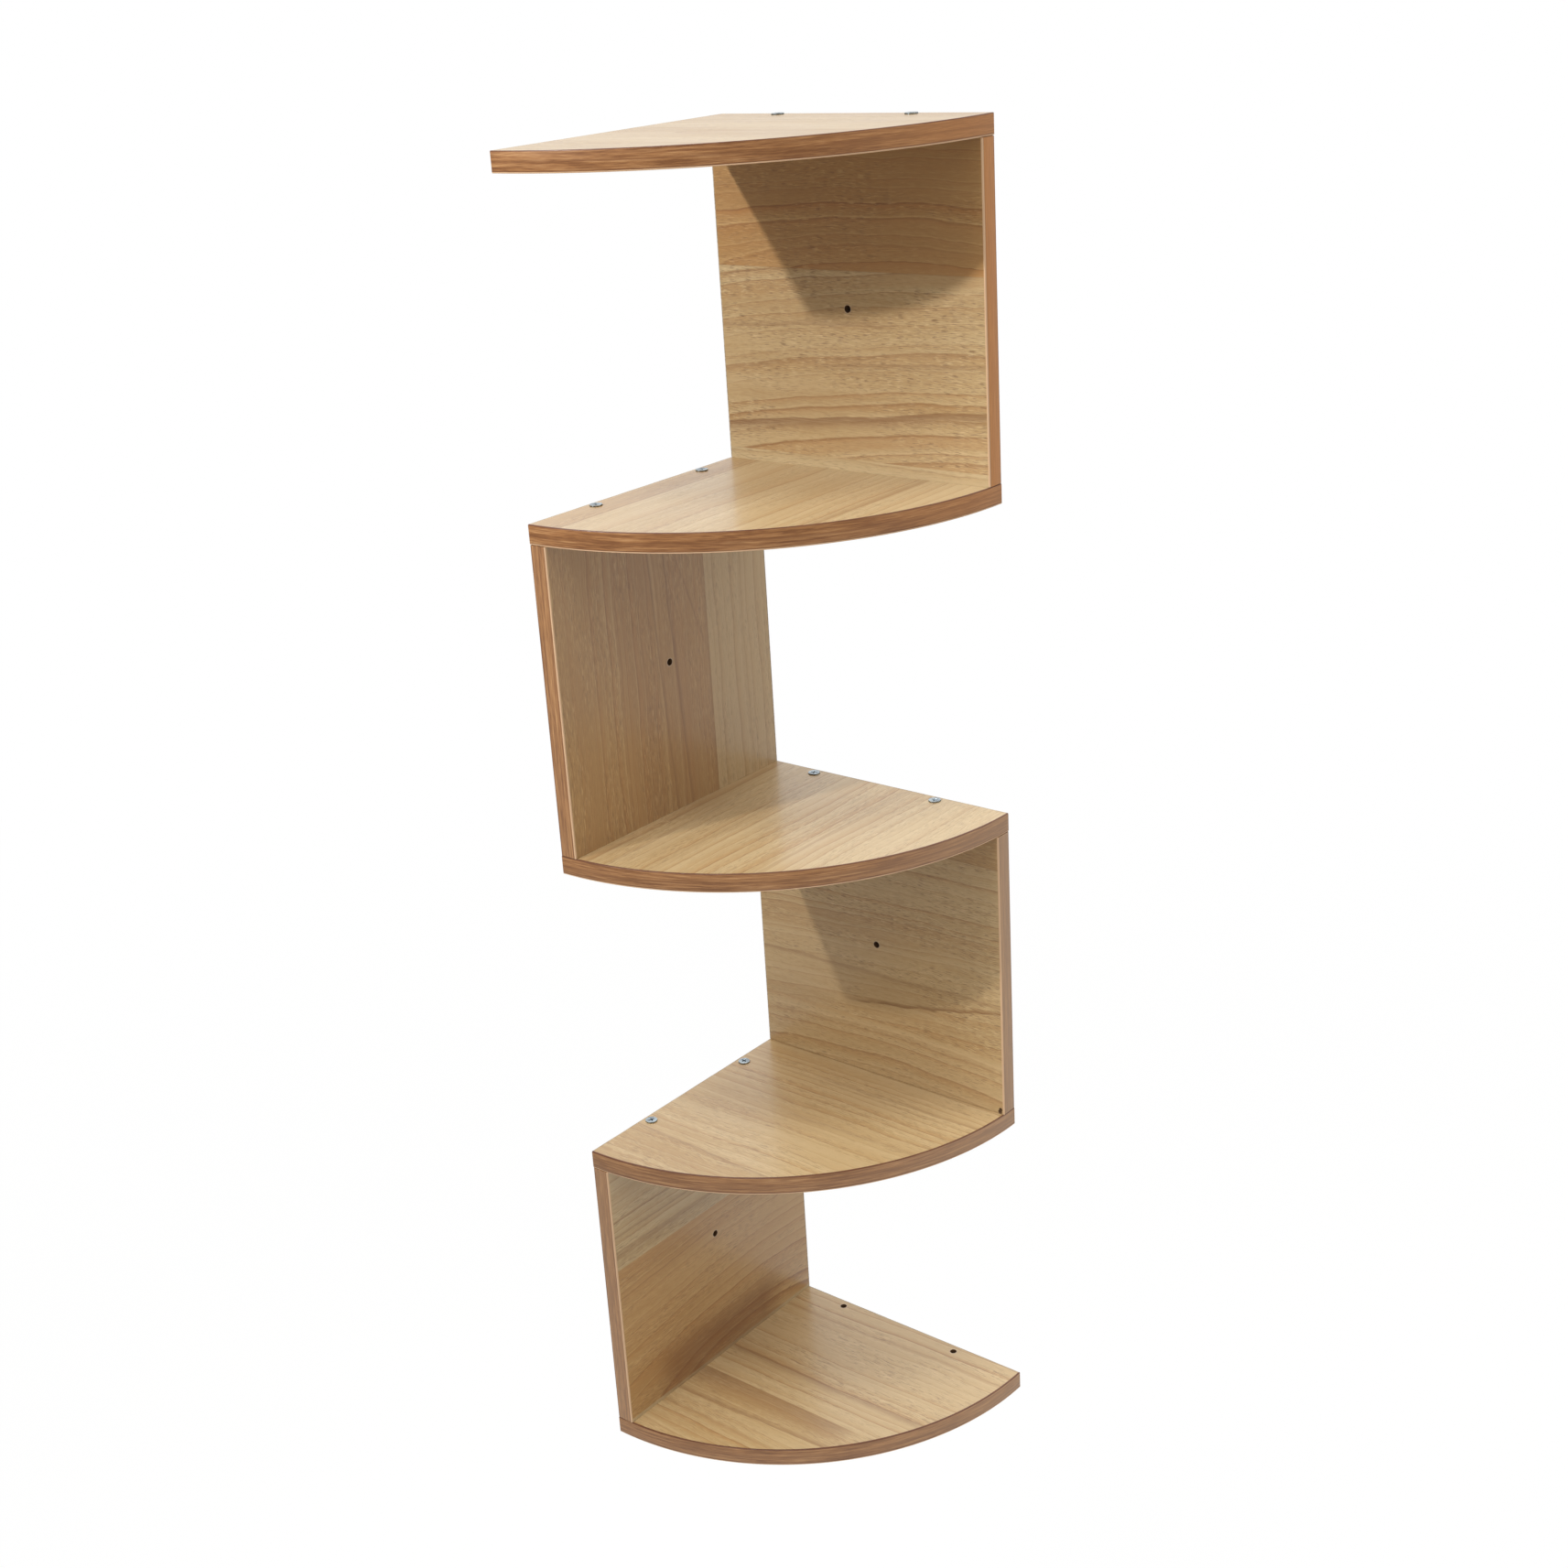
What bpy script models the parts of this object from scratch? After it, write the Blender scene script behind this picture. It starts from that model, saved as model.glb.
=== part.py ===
"""Five-tier zig-zag corner wall shelf, modelled in metres with +Z up.

The room's two walls are the planes x = 0 (the left wall) and y = 0 (the right wall). They meet in
the line x = y = 0, and the shelf stands out from it towards +X and -Y. The origin lies on that line,
level with the underside of the lowest shelf. Shelves and uprights are numbered from the top.

Every shelf is a quarter round of laminated board. Between two shelves stands one square upright,
on the right wall and on the left wall in turn, which gives the zig-zag. Each upright is held by two
wood screws driven down through the shelf above it and two driven up through the shelf below it.
"""

import math
from itertools import product

import bmesh
import bpy
from mathutils import Vector

# Shelves
SHELF_COUNT = 5
SHELF_REACH = 0.195  # from the wall corner to the front edge, along either wall
SHELF_THICKNESS = 0.012
SHELF_SPACING = 0.195  # clear height between two shelves, which an upright fills

# Uprights
UPRIGHT_THICKNESS = 0.012
WALL_HOLE_DIAMETER = 0.0045  # one hole in the middle of each upright, for a wall screw

# Edge bands
FRONT_BAND_THICKNESS = 0.001
WALL_BAND_THICKNESS = 0.0006
BAND_ROUNDING = 0.0007  # of a front band's long edges and of its ends

# Wood screws with a countersunk cross-recessed head
SCREW_LENGTH = 0.035
SCREW_SHANK_DIAMETER = 0.0039
SCREW_HEAD_DIAMETER = 0.0077
SCREW_HEAD_RIM = 0.0005  # the straight part of the head, over its cone
SCREW_HEAD_ROUNDING = 0.0002
SCREW_HEAD_PROUD = 0.0008  # how far the head stands out of the laminate
SCREW_POINT_LENGTH = 0.004
RECESS_WIDTH = 0.0044
RECESS_SLOT = 0.0011
RECESS_DEPTH = 0.0019
RECESS_BOTTOM_SHARE = 0.35  # the recess tapers to this share of its mouth
RECESS_TURN = math.radians(37)  # how far each screw is turned past the one before it

# Where the screws of an upright are, along the wall
SCREW_CORNER_INSET = 0.048  # from the wall corner to the inner screw
SCREW_FRONT_INSET = 0.051  # from the front edge to the outer screw

# Clearances
FIT_GAP = 0.0003  # between two pieces that touch
PILOT_END_CLEARANCE = 0.001  # from a screw's point to the end of its pilot hole
CUTTER_OVERRUN = 0.002  # how far a cutter runs past the face that it opens

# How finely the round forms are divided
ARC_STEPS = 36
HOLE_STEPS = 16
SCREW_STEPS = 16
ROUNDING_STEPS = 2
SHARP_ANGLE = math.radians(35)  # an edge that turns by more than this looks sharp

# Worked out from the sizes above
SHELF_PITCH = SHELF_THICKNESS + SHELF_SPACING
WALL_FACE = WALL_BAND_THICKNESS + FIT_GAP  # where the laminated board starts, from the wall
FRONT_BAND_INNER = SHELF_REACH - FRONT_BAND_THICKNESS
FRONT_BAND_MIDDLE = SHELF_REACH - FRONT_BAND_THICKNESS / 2
FRONT_FACE = FRONT_BAND_INNER - FIT_GAP  # where the laminated board ends
SCREW_CENTRE_LINE = UPRIGHT_THICKNESS / 2  # from the wall to the row of screws
SCREW_PLACES = {"inner": SCREW_CORNER_INSET, "outer": SHELF_REACH - SCREW_FRONT_INSET}
SCREWS_PER_UPRIGHT = 2 * len(SCREW_PLACES)

# Finishes: name, colour, roughness and metallic value
LAMINATE = ("light_wood_laminate", (0.62, 0.48, 0.33, 1.0), 0.42, 0.0)
FRONT_BAND = ("front_edge_band", (0.42, 0.25, 0.13, 1.0), 0.45, 0.0)
WALL_BAND = ("wall_edge_band", (0.45, 0.33, 0.22, 1.0), 0.5, 0.0)
ZINC = ("zinc_plated_steel", (0.62, 0.66, 0.7, 1.0), 0.3, 1.0)


def clear_scene():
    """Removes whatever objects the scene holds."""
    for old in list(bpy.data.objects):
        bpy.data.objects.remove(old, do_unlink=True)


def add_object(name, mesh):
    """Puts a mesh into the scene under a name."""
    item = bpy.data.objects.new(name, mesh)
    bpy.context.scene.collection.objects.link(item)
    return item


def give_finish(item, finish):
    """Gives an object its own Principled material in the stated finish."""
    name, colour, roughness, metallic = finish
    material = bpy.data.materials.new(f"{item.name}_{name}")
    material.use_nodes = True
    shader = material.node_tree.nodes["Principled BSDF"]
    shader.inputs["Base Color"].default_value = colour
    shader.inputs["Roughness"].default_value = roughness
    shader.inputs["Metallic"].default_value = metallic
    item.data.materials.clear()
    item.data.materials.append(material)


def mesh_from(builder, name):
    """Turns a bmesh into a mesh with its faces pointing out."""
    bmesh.ops.recalc_face_normals(builder, faces=builder.faces)
    mesh = bpy.data.meshes.new(name)
    builder.to_mesh(mesh)
    builder.free()
    return mesh


def shade_round(mesh):
    """Shades a mesh smooth, apart from its sharp edges."""
    mesh.shade_smooth()
    mesh.set_sharp_from_angle(angle=SHARP_ANGLE)


def extruded(name, outline, low, high):
    """A solid with a flat outline of (x, y) points, from height low to height high."""
    builder = bmesh.new()
    floor = builder.faces.new([builder.verts.new((x, y, low)) for x, y in outline])
    grown = bmesh.ops.extrude_face_region(builder, geom=[floor])["geom"]
    risen = [part for part in grown if isinstance(part, bmesh.types.BMVert)]
    bmesh.ops.translate(builder, verts=risen, vec=(0, 0, high - low))
    return mesh_from(builder, name)


def turned(name, profile, steps):
    """A solid turned about Z from (radius, height) points, which start and end on the axis."""
    builder = bmesh.new()
    angles = [2 * math.pi * step / steps for step in range(steps)]
    rings = []
    for radius, height in profile:
        spots = angles if radius else angles[:1]
        ring = [(radius * math.cos(a), radius * math.sin(a), height) for a in spots]
        rings.append([builder.verts.new(spot) for spot in ring])
    for upper, lower in zip(rings, rings[1:]):
        for step in range(steps):
            after = (step + 1) % steps
            if len(upper) == 1:
                builder.faces.new([upper[0], lower[step], lower[after]])
            elif len(lower) == 1:
                builder.faces.new([upper[step], lower[0], upper[after]])
            else:
                builder.faces.new([upper[step], lower[step], lower[after], upper[after]])
    return mesh_from(builder, name)


def quarter_arc(radius, wall_distance):
    """Points of a circle round the wall corner that stop at a distance from both walls."""
    start = math.asin(wall_distance / radius)
    sweep = math.pi / 2 - 2 * start
    angles = [start + sweep * step / ARC_STEPS for step in range(ARC_STEPS + 1)]
    return [(radius * math.cos(a), -radius * math.sin(a)) for a in angles]


def wall_of_upright(number):
    """The wall that an upright stands on: right for the first one, left for the next."""
    return "right" if number % 2 else "left"


def by_wall(wall, along, out):
    """The (x, y) place at a distance along a wall from the corner, and at one out from it."""
    return (along, -out) if wall == "right" else (out, -along)


def wall_slab(name, wall, along, out, low, high):
    """A box between two distances along a wall, two distances out from it and two heights."""
    outline = [(along[0], out[0]), (along[1], out[0]), (along[1], out[1]), (along[0], out[1])]
    return extruded(name, [by_wall(wall, *spot) for spot in outline], low, high)


def shelf_top(number):
    """The height of a shelf's top face."""
    return SHELF_THICKNESS + (SHELF_COUNT - number) * SHELF_PITCH


def upright_span(number):
    """The heights of an upright's lower and upper ends, clear of the shelves."""
    foot = shelf_top(number + 1) + FIT_GAP
    head = shelf_top(number) - SHELF_THICKNESS - FIT_GAP
    return foot, head


def round_edges(item, is_rounded):
    """Rounds the edges whose two ends meet the given test."""
    mesh = item.data
    weights = mesh.attributes.new("bevel_weight_edge", "FLOAT", "EDGE")
    for edge in mesh.edges:
        ends = [mesh.vertices[index].co for index in edge.vertices]
        weights.data[edge.index].value = float(is_rounded(*ends))
    bevel = item.modifiers.new("rounded edges", "BEVEL")
    bevel.limit_method = "WEIGHT"
    bevel.width = min(BAND_ROUNDING, FRONT_BAND_THICKNESS - FIT_GAP)
    bevel.segments = ROUNDING_STEPS
    shade_round(mesh)


def shelf_board(number):
    """The laminated quarter round, before its holes are drilled."""
    outline = [(WALL_FACE, -WALL_FACE)] + quarter_arc(FRONT_FACE, WALL_FACE)
    top = shelf_top(number)
    name = f"shelf_{number}_board"
    board = add_object(name, extruded(name, outline, top - SHELF_THICKNESS, top))
    shade_round(board.data)
    give_finish(board, LAMINATE)
    return board


def shelf_front_band(number):
    """The band on a shelf's round front edge, from wall to wall."""
    outline = quarter_arc(SHELF_REACH, 0) + quarter_arc(FRONT_BAND_INNER, 0)[::-1]
    top = shelf_top(number)
    name = f"shelf_{number}_front_band"
    band = add_object(name, extruded(name, outline, top - SHELF_THICKNESS, top))

    def is_rounded(first, second):
        is_outside = min(first.xy.length, second.xy.length) > FRONT_BAND_MIDDLE
        is_upright = first.z != second.z
        is_at_wall = min(abs(first.x), abs(first.y)) < BAND_ROUNDING
        return is_outside and (is_at_wall or not is_upright)

    round_edges(band, is_rounded)
    give_finish(band, FRONT_BAND)


def shelf_wall_band(number, wall):
    """The band on one of a shelf's straight edges. The right one runs into the wall corner."""
    name = f"shelf_{number}_{wall}_wall_band"
    along = (0 if wall == "right" else WALL_FACE, FRONT_FACE)
    out = (0, WALL_BAND_THICKNESS)
    top = shelf_top(number)
    band = add_object(name, wall_slab(name, wall, along, out, top - SHELF_THICKNESS, top))
    give_finish(band, WALL_BAND)
    return band


def upright_board(number):
    """The laminated panel between two shelves, before its holes are drilled."""
    name = f"upright_{number}_board"
    wall = wall_of_upright(number)
    along, out = (WALL_FACE, FRONT_FACE), (0, UPRIGHT_THICKNESS)
    board = add_object(name, wall_slab(name, wall, along, out, *upright_span(number)))
    give_finish(board, LAMINATE)
    return board


def upright_front_band(number):
    """The band on an upright's front edge."""
    name = f"upright_{number}_front_band"
    wall = wall_of_upright(number)
    along, out = (FRONT_BAND_INNER, SHELF_REACH), (0, UPRIGHT_THICKNESS)
    band = add_object(name, wall_slab(name, wall, along, out, *upright_span(number)))
    axis = 0 if wall == "right" else 1

    def is_rounded(first, second):
        is_outside = min(abs(first[axis]), abs(second[axis])) > FRONT_BAND_MIDDLE
        return is_outside and first.z != second.z

    round_edges(band, is_rounded)
    give_finish(band, FRONT_BAND)


def upright_rear_band(number):
    """The band on an upright's edge in the wall corner."""
    name = f"upright_{number}_rear_band"
    wall = wall_of_upright(number)
    along, out = (0, WALL_BAND_THICKNESS), (0, UPRIGHT_THICKNESS)
    band = add_object(name, wall_slab(name, wall, along, out, *upright_span(number)))
    give_finish(band, WALL_BAND)


def screw_profile():
    """A screw's (radius, height) outline. Height 0 is the face that it is driven into."""
    head = SCREW_HEAD_DIAMETER / 2
    shank = SCREW_SHANK_DIAMETER / 2
    cone_top = SCREW_HEAD_PROUD - SCREW_HEAD_RIM
    tip = SCREW_HEAD_PROUD - SCREW_LENGTH
    return [
        (0, SCREW_HEAD_PROUD),
        (head - SCREW_HEAD_ROUNDING, SCREW_HEAD_PROUD),
        (head, SCREW_HEAD_PROUD - SCREW_HEAD_ROUNDING),
        (head, cone_top),
        (shank, cone_top - (head - shank)),
        (shank, tip + SCREW_POINT_LENGTH),
        (0, tip),
    ]


def seat_profile():
    """The outline of the countersink and pilot hole that a screw lies in, clear of it all round."""
    cone_gap = FIT_GAP * math.sqrt(2)  # leaves the fit gap square to the cone of 45 degrees
    head = SCREW_HEAD_DIAMETER / 2 + cone_gap
    shank = SCREW_SHANK_DIAMETER / 2 + FIT_GAP
    cone_top = SCREW_HEAD_PROUD - SCREW_HEAD_RIM
    end = SCREW_HEAD_PROUD - SCREW_LENGTH - PILOT_END_CLEARANCE
    return [
        (0, CUTTER_OVERRUN),
        (head, CUTTER_OVERRUN),
        (head, cone_top),
        (shank, cone_top - (head - shank)),
        (shank, end),
        (0, end),
    ]


def recess_cutter():
    """The tapered cross that a screwdriver fits, as a cutter."""
    arm = RECESS_WIDTH / 2
    side = RECESS_SLOT / 2
    cross = []
    for quarter in range(4):
        turn = math.pi / 2 * quarter
        for spot in ((arm, -side), (arm, side), (side, side)):
            radius, angle = math.hypot(*spot), math.atan2(spot[1], spot[0]) + turn
            cross.append((radius * math.cos(angle), radius * math.sin(angle)))
    bottom = SCREW_HEAD_PROUD - RECESS_DEPTH
    taper = (1 - RECESS_BOTTOM_SHARE) / RECESS_DEPTH
    builder = bmesh.new()
    rings = []
    for height in (bottom, SCREW_HEAD_PROUD + CUTTER_OVERRUN):
        share = RECESS_BOTTOM_SHARE + taper * (height - bottom)
        rings.append([builder.verts.new((x * share, y * share, height)) for x, y in cross])
    for step in range(len(cross)):
        after = (step + 1) % len(cross)
        builder.faces.new([rings[0][step], rings[0][after], rings[1][after], rings[1][step]])
    for ring in rings:
        builder.faces.new(ring)
    return add_object("recess_cutter", mesh_from(builder, "recess_cutter"))


def cut(item, cutter):
    """Cuts one object with another, which stays as a guide that isn't part of the shelf."""
    cutter.hide_render = True
    cutter.display_type = "WIRE"
    boolean = item.modifiers.new(cutter.name, "BOOLEAN")
    boolean.operation = "DIFFERENCE"
    boolean.solver = "EXACT"
    boolean.object = cutter


def screw_mesh():
    """One screw with its recess cut, head up, with its axis on Z."""
    blank = add_object("screw_blank", turned("screw_blank", screw_profile(), SCREW_STEPS))
    cutter = recess_cutter()
    cut(blank, cutter)
    evaluated = blank.evaluated_get(bpy.context.evaluated_depsgraph_get())
    mesh = bpy.data.meshes.new_from_object(evaluated)
    mesh.name = "wood_screw"
    shade_round(mesh)
    bpy.data.objects.remove(blank)
    bpy.data.objects.remove(cutter)
    return mesh


def drive_screw(name, mesh, place, direction, turn, pieces):
    """Drives a screw into the face at place and cuts its seat out of the pieces it goes through."""
    screw = add_object(name, mesh.copy())
    give_finish(screw, ZINC)
    seat = add_object(f"{name}_seat", turned(f"{name}_seat", seat_profile(), HOLE_STEPS))
    facing = (-direction).to_track_quat("Z", "Y").to_euler()
    for item in (screw, seat):
        item.location = place
        item.rotation_euler = facing
    screw.rotation_euler.rotate_axis("Z", turn)
    for piece in pieces:
        cut(piece, seat)


def drill(name, piece, start, end, diameter):
    """Drills a plain hole through a piece, from start to end and past both of its faces."""
    overrun = (end - start).normalized() * CUTTER_OVERRUN
    length = (end - start).length + 2 * CUTTER_OVERRUN
    radius = diameter / 2
    profile = [(0, 0), (radius, 0), (radius, -length), (0, -length)]
    cutter = add_object(name, turned(name, profile, HOLE_STEPS))
    cutter.location = start - overrun
    cutter.rotation_euler = (start - end).to_track_quat("Z", "Y").to_euler()
    cut(piece, cutter)


def drill_wall_hole(number, board):
    """Drills the hole in the middle of an upright, through which it is screwed to the wall."""
    wall = wall_of_upright(number)
    height = sum(upright_span(number)) / 2
    start = Vector((*by_wall(wall, SHELF_REACH / 2, UPRIGHT_THICKNESS), height))
    end = Vector((*by_wall(wall, SHELF_REACH / 2, 0), height))
    drill(f"upright_{number}_wall_hole", board, start, end, WALL_HOLE_DIAMETER)


def drill_spare_holes(board):
    """Drills the lowest shelf's second pair of screw holes, which stays empty."""
    top = shelf_top(SHELF_COUNT)
    diameter = SCREW_SHANK_DIAMETER + 2 * FIT_GAP
    for label, along in SCREW_PLACES.items():
        spot = by_wall(wall_of_upright(SHELF_COUNT), along, SCREW_CENTRE_LINE)
        start, end = Vector((*spot, top)), Vector((*spot, top - SHELF_THICKNESS))
        drill(f"spare_{label}_hole", board, start, end, diameter)


def join_upright(number, upright, shelves, mesh):
    """Drives an upright's four screws, through the shelf above it and the one below it."""
    wall = wall_of_upright(number)
    underside = shelf_top(number + 1) - SHELF_THICKNESS
    ways = [
        ("down", shelves[number], shelf_top(number), Vector((0, 0, -1))),
        ("up", shelves[number + 1], underside, Vector((0, 0, 1))),
    ]
    driven = product(ways, SCREW_PLACES.items())
    for order, ((way, shelf, height, direction), (label, along)) in enumerate(driven):
        name = f"screw_{way}_{number}_{label}"
        place = Vector((*by_wall(wall, along, SCREW_CENTRE_LINE), height))
        turn = RECESS_TURN * (SCREWS_PER_UPRIGHT * number + order)
        pieces = [shelf["board"], shelf[wall], upright]
        drive_screw(name, mesh, place, direction, turn, pieces)


def build():
    """Builds the whole shelf."""
    clear_scene()
    shelves = {}
    for number in range(1, SHELF_COUNT + 1):
        shelf_front_band(number)
        shelves[number] = {"board": shelf_board(number)}
        for wall in ("right", "left"):
            shelves[number][wall] = shelf_wall_band(number, wall)
    mesh = screw_mesh()
    for number in range(1, SHELF_COUNT):
        upright = upright_board(number)
        upright_front_band(number)
        upright_rear_band(number)
        drill_wall_hole(number, upright)
        join_upright(number, upright, shelves, mesh)
    drill_spare_holes(shelves[SHELF_COUNT]["board"])


build()
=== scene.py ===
# %% [markdown]
# # A five-tier corner shelf in laminated board
# Five quarter-round shelves hang in the corner of two walls. Four square uprights join them, on the
# right wall and on the left wall in turn, so that the whole makes a zig-zag. The CAD model gives every
# size. This script keeps that model as a fixed frame, reads its boxes, and dresses it: printed
# laminate, edge bands, cut holes and zinc screws. The room's walls are the planes x = 0 (left) and
# y = 0 (right), +Z is up, and lengths are in metres unless a name or a comment says mm.

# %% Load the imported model
import math

import bpy
from mathutils import Matrix, Vector


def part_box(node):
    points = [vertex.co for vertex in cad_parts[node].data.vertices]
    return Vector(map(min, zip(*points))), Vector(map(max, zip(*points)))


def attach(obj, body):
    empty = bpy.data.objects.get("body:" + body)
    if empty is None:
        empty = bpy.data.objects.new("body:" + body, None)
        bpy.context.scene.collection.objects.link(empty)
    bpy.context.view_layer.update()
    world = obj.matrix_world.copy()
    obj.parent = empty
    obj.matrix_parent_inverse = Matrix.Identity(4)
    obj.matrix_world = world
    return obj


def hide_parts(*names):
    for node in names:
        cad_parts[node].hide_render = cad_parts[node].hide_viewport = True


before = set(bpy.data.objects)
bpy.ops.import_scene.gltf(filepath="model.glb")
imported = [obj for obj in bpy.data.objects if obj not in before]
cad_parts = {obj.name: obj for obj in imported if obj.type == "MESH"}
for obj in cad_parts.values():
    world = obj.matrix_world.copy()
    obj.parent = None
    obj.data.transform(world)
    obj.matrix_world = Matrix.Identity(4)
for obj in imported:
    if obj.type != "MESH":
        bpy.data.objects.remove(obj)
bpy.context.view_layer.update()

SHELVES = range(1, 6)
UPRIGHTS = range(1, 5)

# %% [markdown]
# ## The camera
# The edges of the shelves in a photograph were matched with the CAD model's, and that gives the
# camera's lens, place and turn. The shift moves the picture on the sensor without tilting the camera,
# so upright edges keep their slant. Depth of field stays off.

# %% Camera
LENS_MM = 50.44
EYE = (0.8947, -1.0536, 0.9396)
EYE_TURN = (68.3656, 3.7760, 39.8708)  # degrees about X, Y and Z
EYE_SHIFT = (0.0348, 0.0140)

camera = bpy.data.objects.new("camera", bpy.data.cameras.new("camera"))
bpy.context.scene.collection.objects.link(camera)
camera.data.lens = LENS_MM
camera.data.shift_x, camera.data.shift_y = EYE_SHIFT
camera.location = EYE
camera.rotation_euler = [math.radians(angle) for angle in EYE_TURN]
bpy.context.scene.camera = camera
bpy.context.scene.view_settings.view_transform = "Standard"
print(f"camera at {EYE} with a {LENS_MM} mm lens")

# %% [markdown]
# ## Helpers for node trees
# Materials and Geometry Nodes are both node trees. One helper adds a node with its settings and
# inputs. An input may be a plain value, a socket, or a node, which stands for its first output. Sums,
# noise and blends have words of their own, which find their tree from what they are given.

# %% Node helpers
SOCKET_KINDS = {bool: "Bool", int: "Int", float: "Float", tuple: "Vector"}


def output_of(value):
    """The socket that a node or a socket stands for, or None for a plain value."""
    if isinstance(value, bpy.types.Node):
        return next(socket for socket in value.outputs if socket.enabled)
    return value if isinstance(value, bpy.types.NodeSocket) else None


def tree_of(*values):
    """The tree of the first node or socket among some values."""
    return next(output_of(value) for value in values if output_of(value)).id_data


def add(tree, kind, inputs=(), **named):
    """Adds a node. Its kind is Blender's name without ShaderNode, GeometryNode or FunctionNode.

    Inputs are given in order, or by name with _ for a space. A name in small letters is a setting.
    """
    families = (tree.bl_idname.removesuffix("Tree"), "ShaderNode", "FunctionNode")
    node = tree.nodes.new(next(f + kind for f in families if hasattr(bpy.types, f + kind)))
    for name in filter(str.islower, named):
        setattr(node, name, named[name])
    shown = [socket for socket in node.inputs if socket.enabled]
    by_name = {socket.name.replace(" ", "_"): socket for socket in reversed(shown)}
    pairs = [(by_name[name], value) for name, value in named.items() if not name.islower()]
    for socket, value in [*zip(shown, inputs), *pairs]:
        if output_of(value):
            tree.links.new(output_of(value), socket)
        else:
            socket.default_value = value
    return node


def maths(operation, *inputs):
    """A Math node."""
    return add(tree_of(*inputs), "Math", inputs, operation=operation)


def plus(first, second):
    return maths("ADD", first, second)


def minus(first, second):
    return maths("SUBTRACT", first, second)


def times(first, second):
    return maths("MULTIPLY", first, second)


def times_plus(first, second, third):
    """First times second, plus third."""
    return maths("MULTIPLY_ADD", first, second, third)


def vector_maths(operation, *inputs):
    """A Vector Math node."""
    return add(tree_of(*inputs), "VectorMath", inputs, operation=operation)


def scaled(vector, factor):
    """A vector times a plain number."""
    node = vector_maths("SCALE", vector)
    node.inputs["Scale"].default_value = factor
    return node


def length(vector):
    return vector_maths("LENGTH", vector).outputs["Value"]


def joined(*parts):
    """A vector from three numbers."""
    return add(tree_of(*parts), "CombineXYZ", parts)


def part(vector, axis):
    """One of a vector's three numbers."""
    return add(tree_of(vector), "SeparateXYZ", (vector,)).outputs[axis]


def ramped(value, low, high, to_low=0.0, to_high=1.0):
    """A value eased from to_low, at low, to to_high, at high."""
    inputs = (value, low, high, to_low, to_high)
    return add(tree_of(value), "MapRange", inputs, interpolation_type="SMOOTHSTEP")


def faded(value, low, high):
    """A mask that goes from 1, at low, to 0, at high."""
    return ramped(value, low, high, 1.0, 0.0)


def blended(share, first, second, **settings):
    """A colour that goes from the first one to the second one as share goes from 0 to 1."""
    inputs = (share, first, second)
    return add(tree_of(*inputs), "Mix", inputs, data_type="RGBA", **settings)


def chosen(share, first, second):
    """The first number where share is 0, and the second one where it is 1."""
    return add(tree_of(share), "Mix", (share, first, second), data_type="FLOAT")


def layered(base, *layers):
    """A colour with others laid over it in turn, each given as (share, colour)."""
    for share, colour in layers:
        base = blended(share, base, colour)
    return base


def noise(place, scale, detail=2.0, roughness=0.5):
    """Smooth noise from 0 to 1 at a place, which is first stretched by scale."""
    stretched = vector_maths("MULTIPLY", place, scale)
    return add(tree_of(place), "TexNoise", Vector=stretched, Scale=1.0, Detail=detail,
               Roughness=roughness)


def wander(*settings, **more):
    """Noise that swings about 0."""
    return minus(noise(*settings, **more), 0.5)


def new_group(name, kind, takes, gives, gives_kind="Float"):
    """An empty node group, its inputs by name and its output node.

    Each input has a default that also tells its kind, or for geometry and materials just the kind.
    """
    tree = bpy.data.node_groups.new(name, kind)
    for label, default in takes.items():
        word = default if isinstance(default, str) else SOCKET_KINDS[type(default)]
        socket = tree.interface.new_socket(label, in_out="INPUT", socket_type=f"NodeSocket{word}")
        if word != default:
            socket.default_value = default
    for label in gives:
        tree.interface.new_socket(label, in_out="OUTPUT", socket_type=f"NodeSocket{gives_kind}")
    return tree, tree.nodes.new("NodeGroupInput").outputs, tree.nodes.new("NodeGroupOutput").inputs


def give(exits, **values):
    """Links values to a group's outputs, and returns the group that is now complete."""
    for name, value in values.items():
        tree_of(value).links.new(output_of(value), exits[name])
    group = tree_of(*values.values())
    print(f"{group.name}: {len(group.nodes)} nodes")
    return group


def rgb(red, green, blue):
    """A colour picked on screen, from 0 to 255, as the linear colour that a node takes."""
    shares = [c / 255 for c in (red, green, blue)]
    return (*[s / 12.92 if s <= 0.04045 else ((s + 0.055) / 1.055) ** 2.4 for s in shares], 1.0)


print("node helpers are ready")

# %% [markdown]
# A material starts with the shader that Blender gives it. Its colour, its roughness and its relief
# are drawn with nodes, while numbers that hold for the whole surface are set on the shader itself.

# %% Material helpers
def new_material(name):
    """A material and its tree."""
    material = bpy.data.materials.new(name)
    material.use_nodes = True
    return material, material.node_tree


def own_place(tree):
    """Where a point lies on its own object."""
    return add(tree, "TexCoord").outputs["Object"]


def shaded(tree, base, gloss, relief, strength, depth=0.0001, **plain):
    """Gives the shader its colour, roughness and relief, and its plain numbers."""
    inputs = tree.nodes["Principled BSDF"].inputs
    bump = add(tree, "Bump", Strength=strength, Distance=depth, Height=relief)
    for name, value in {"Base Color": base, "Roughness": gloss, "Normal": bump}.items():
        tree.links.new(output_of(value), inputs[name])
    for name, value in plain.items():
        inputs[name.replace("_", " ")].default_value = value


print("material helpers are ready")

# %% [markdown]
# ## Floor, background and light
# The shelf hangs in the air over a pale floor, in front of white. Light Path tells three kinds of ray
# apart. The camera sees white of strength 1. Reflections see it overhead, with a greyer wall near the
# horizon and a dim room behind the camera. The boards are lit by a soft fill from overhead, so the
# white costs them no colour. On the floor the white is only a part of the mix, and the rest is lit
# paint, which keeps the shelf's shadow.

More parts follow.
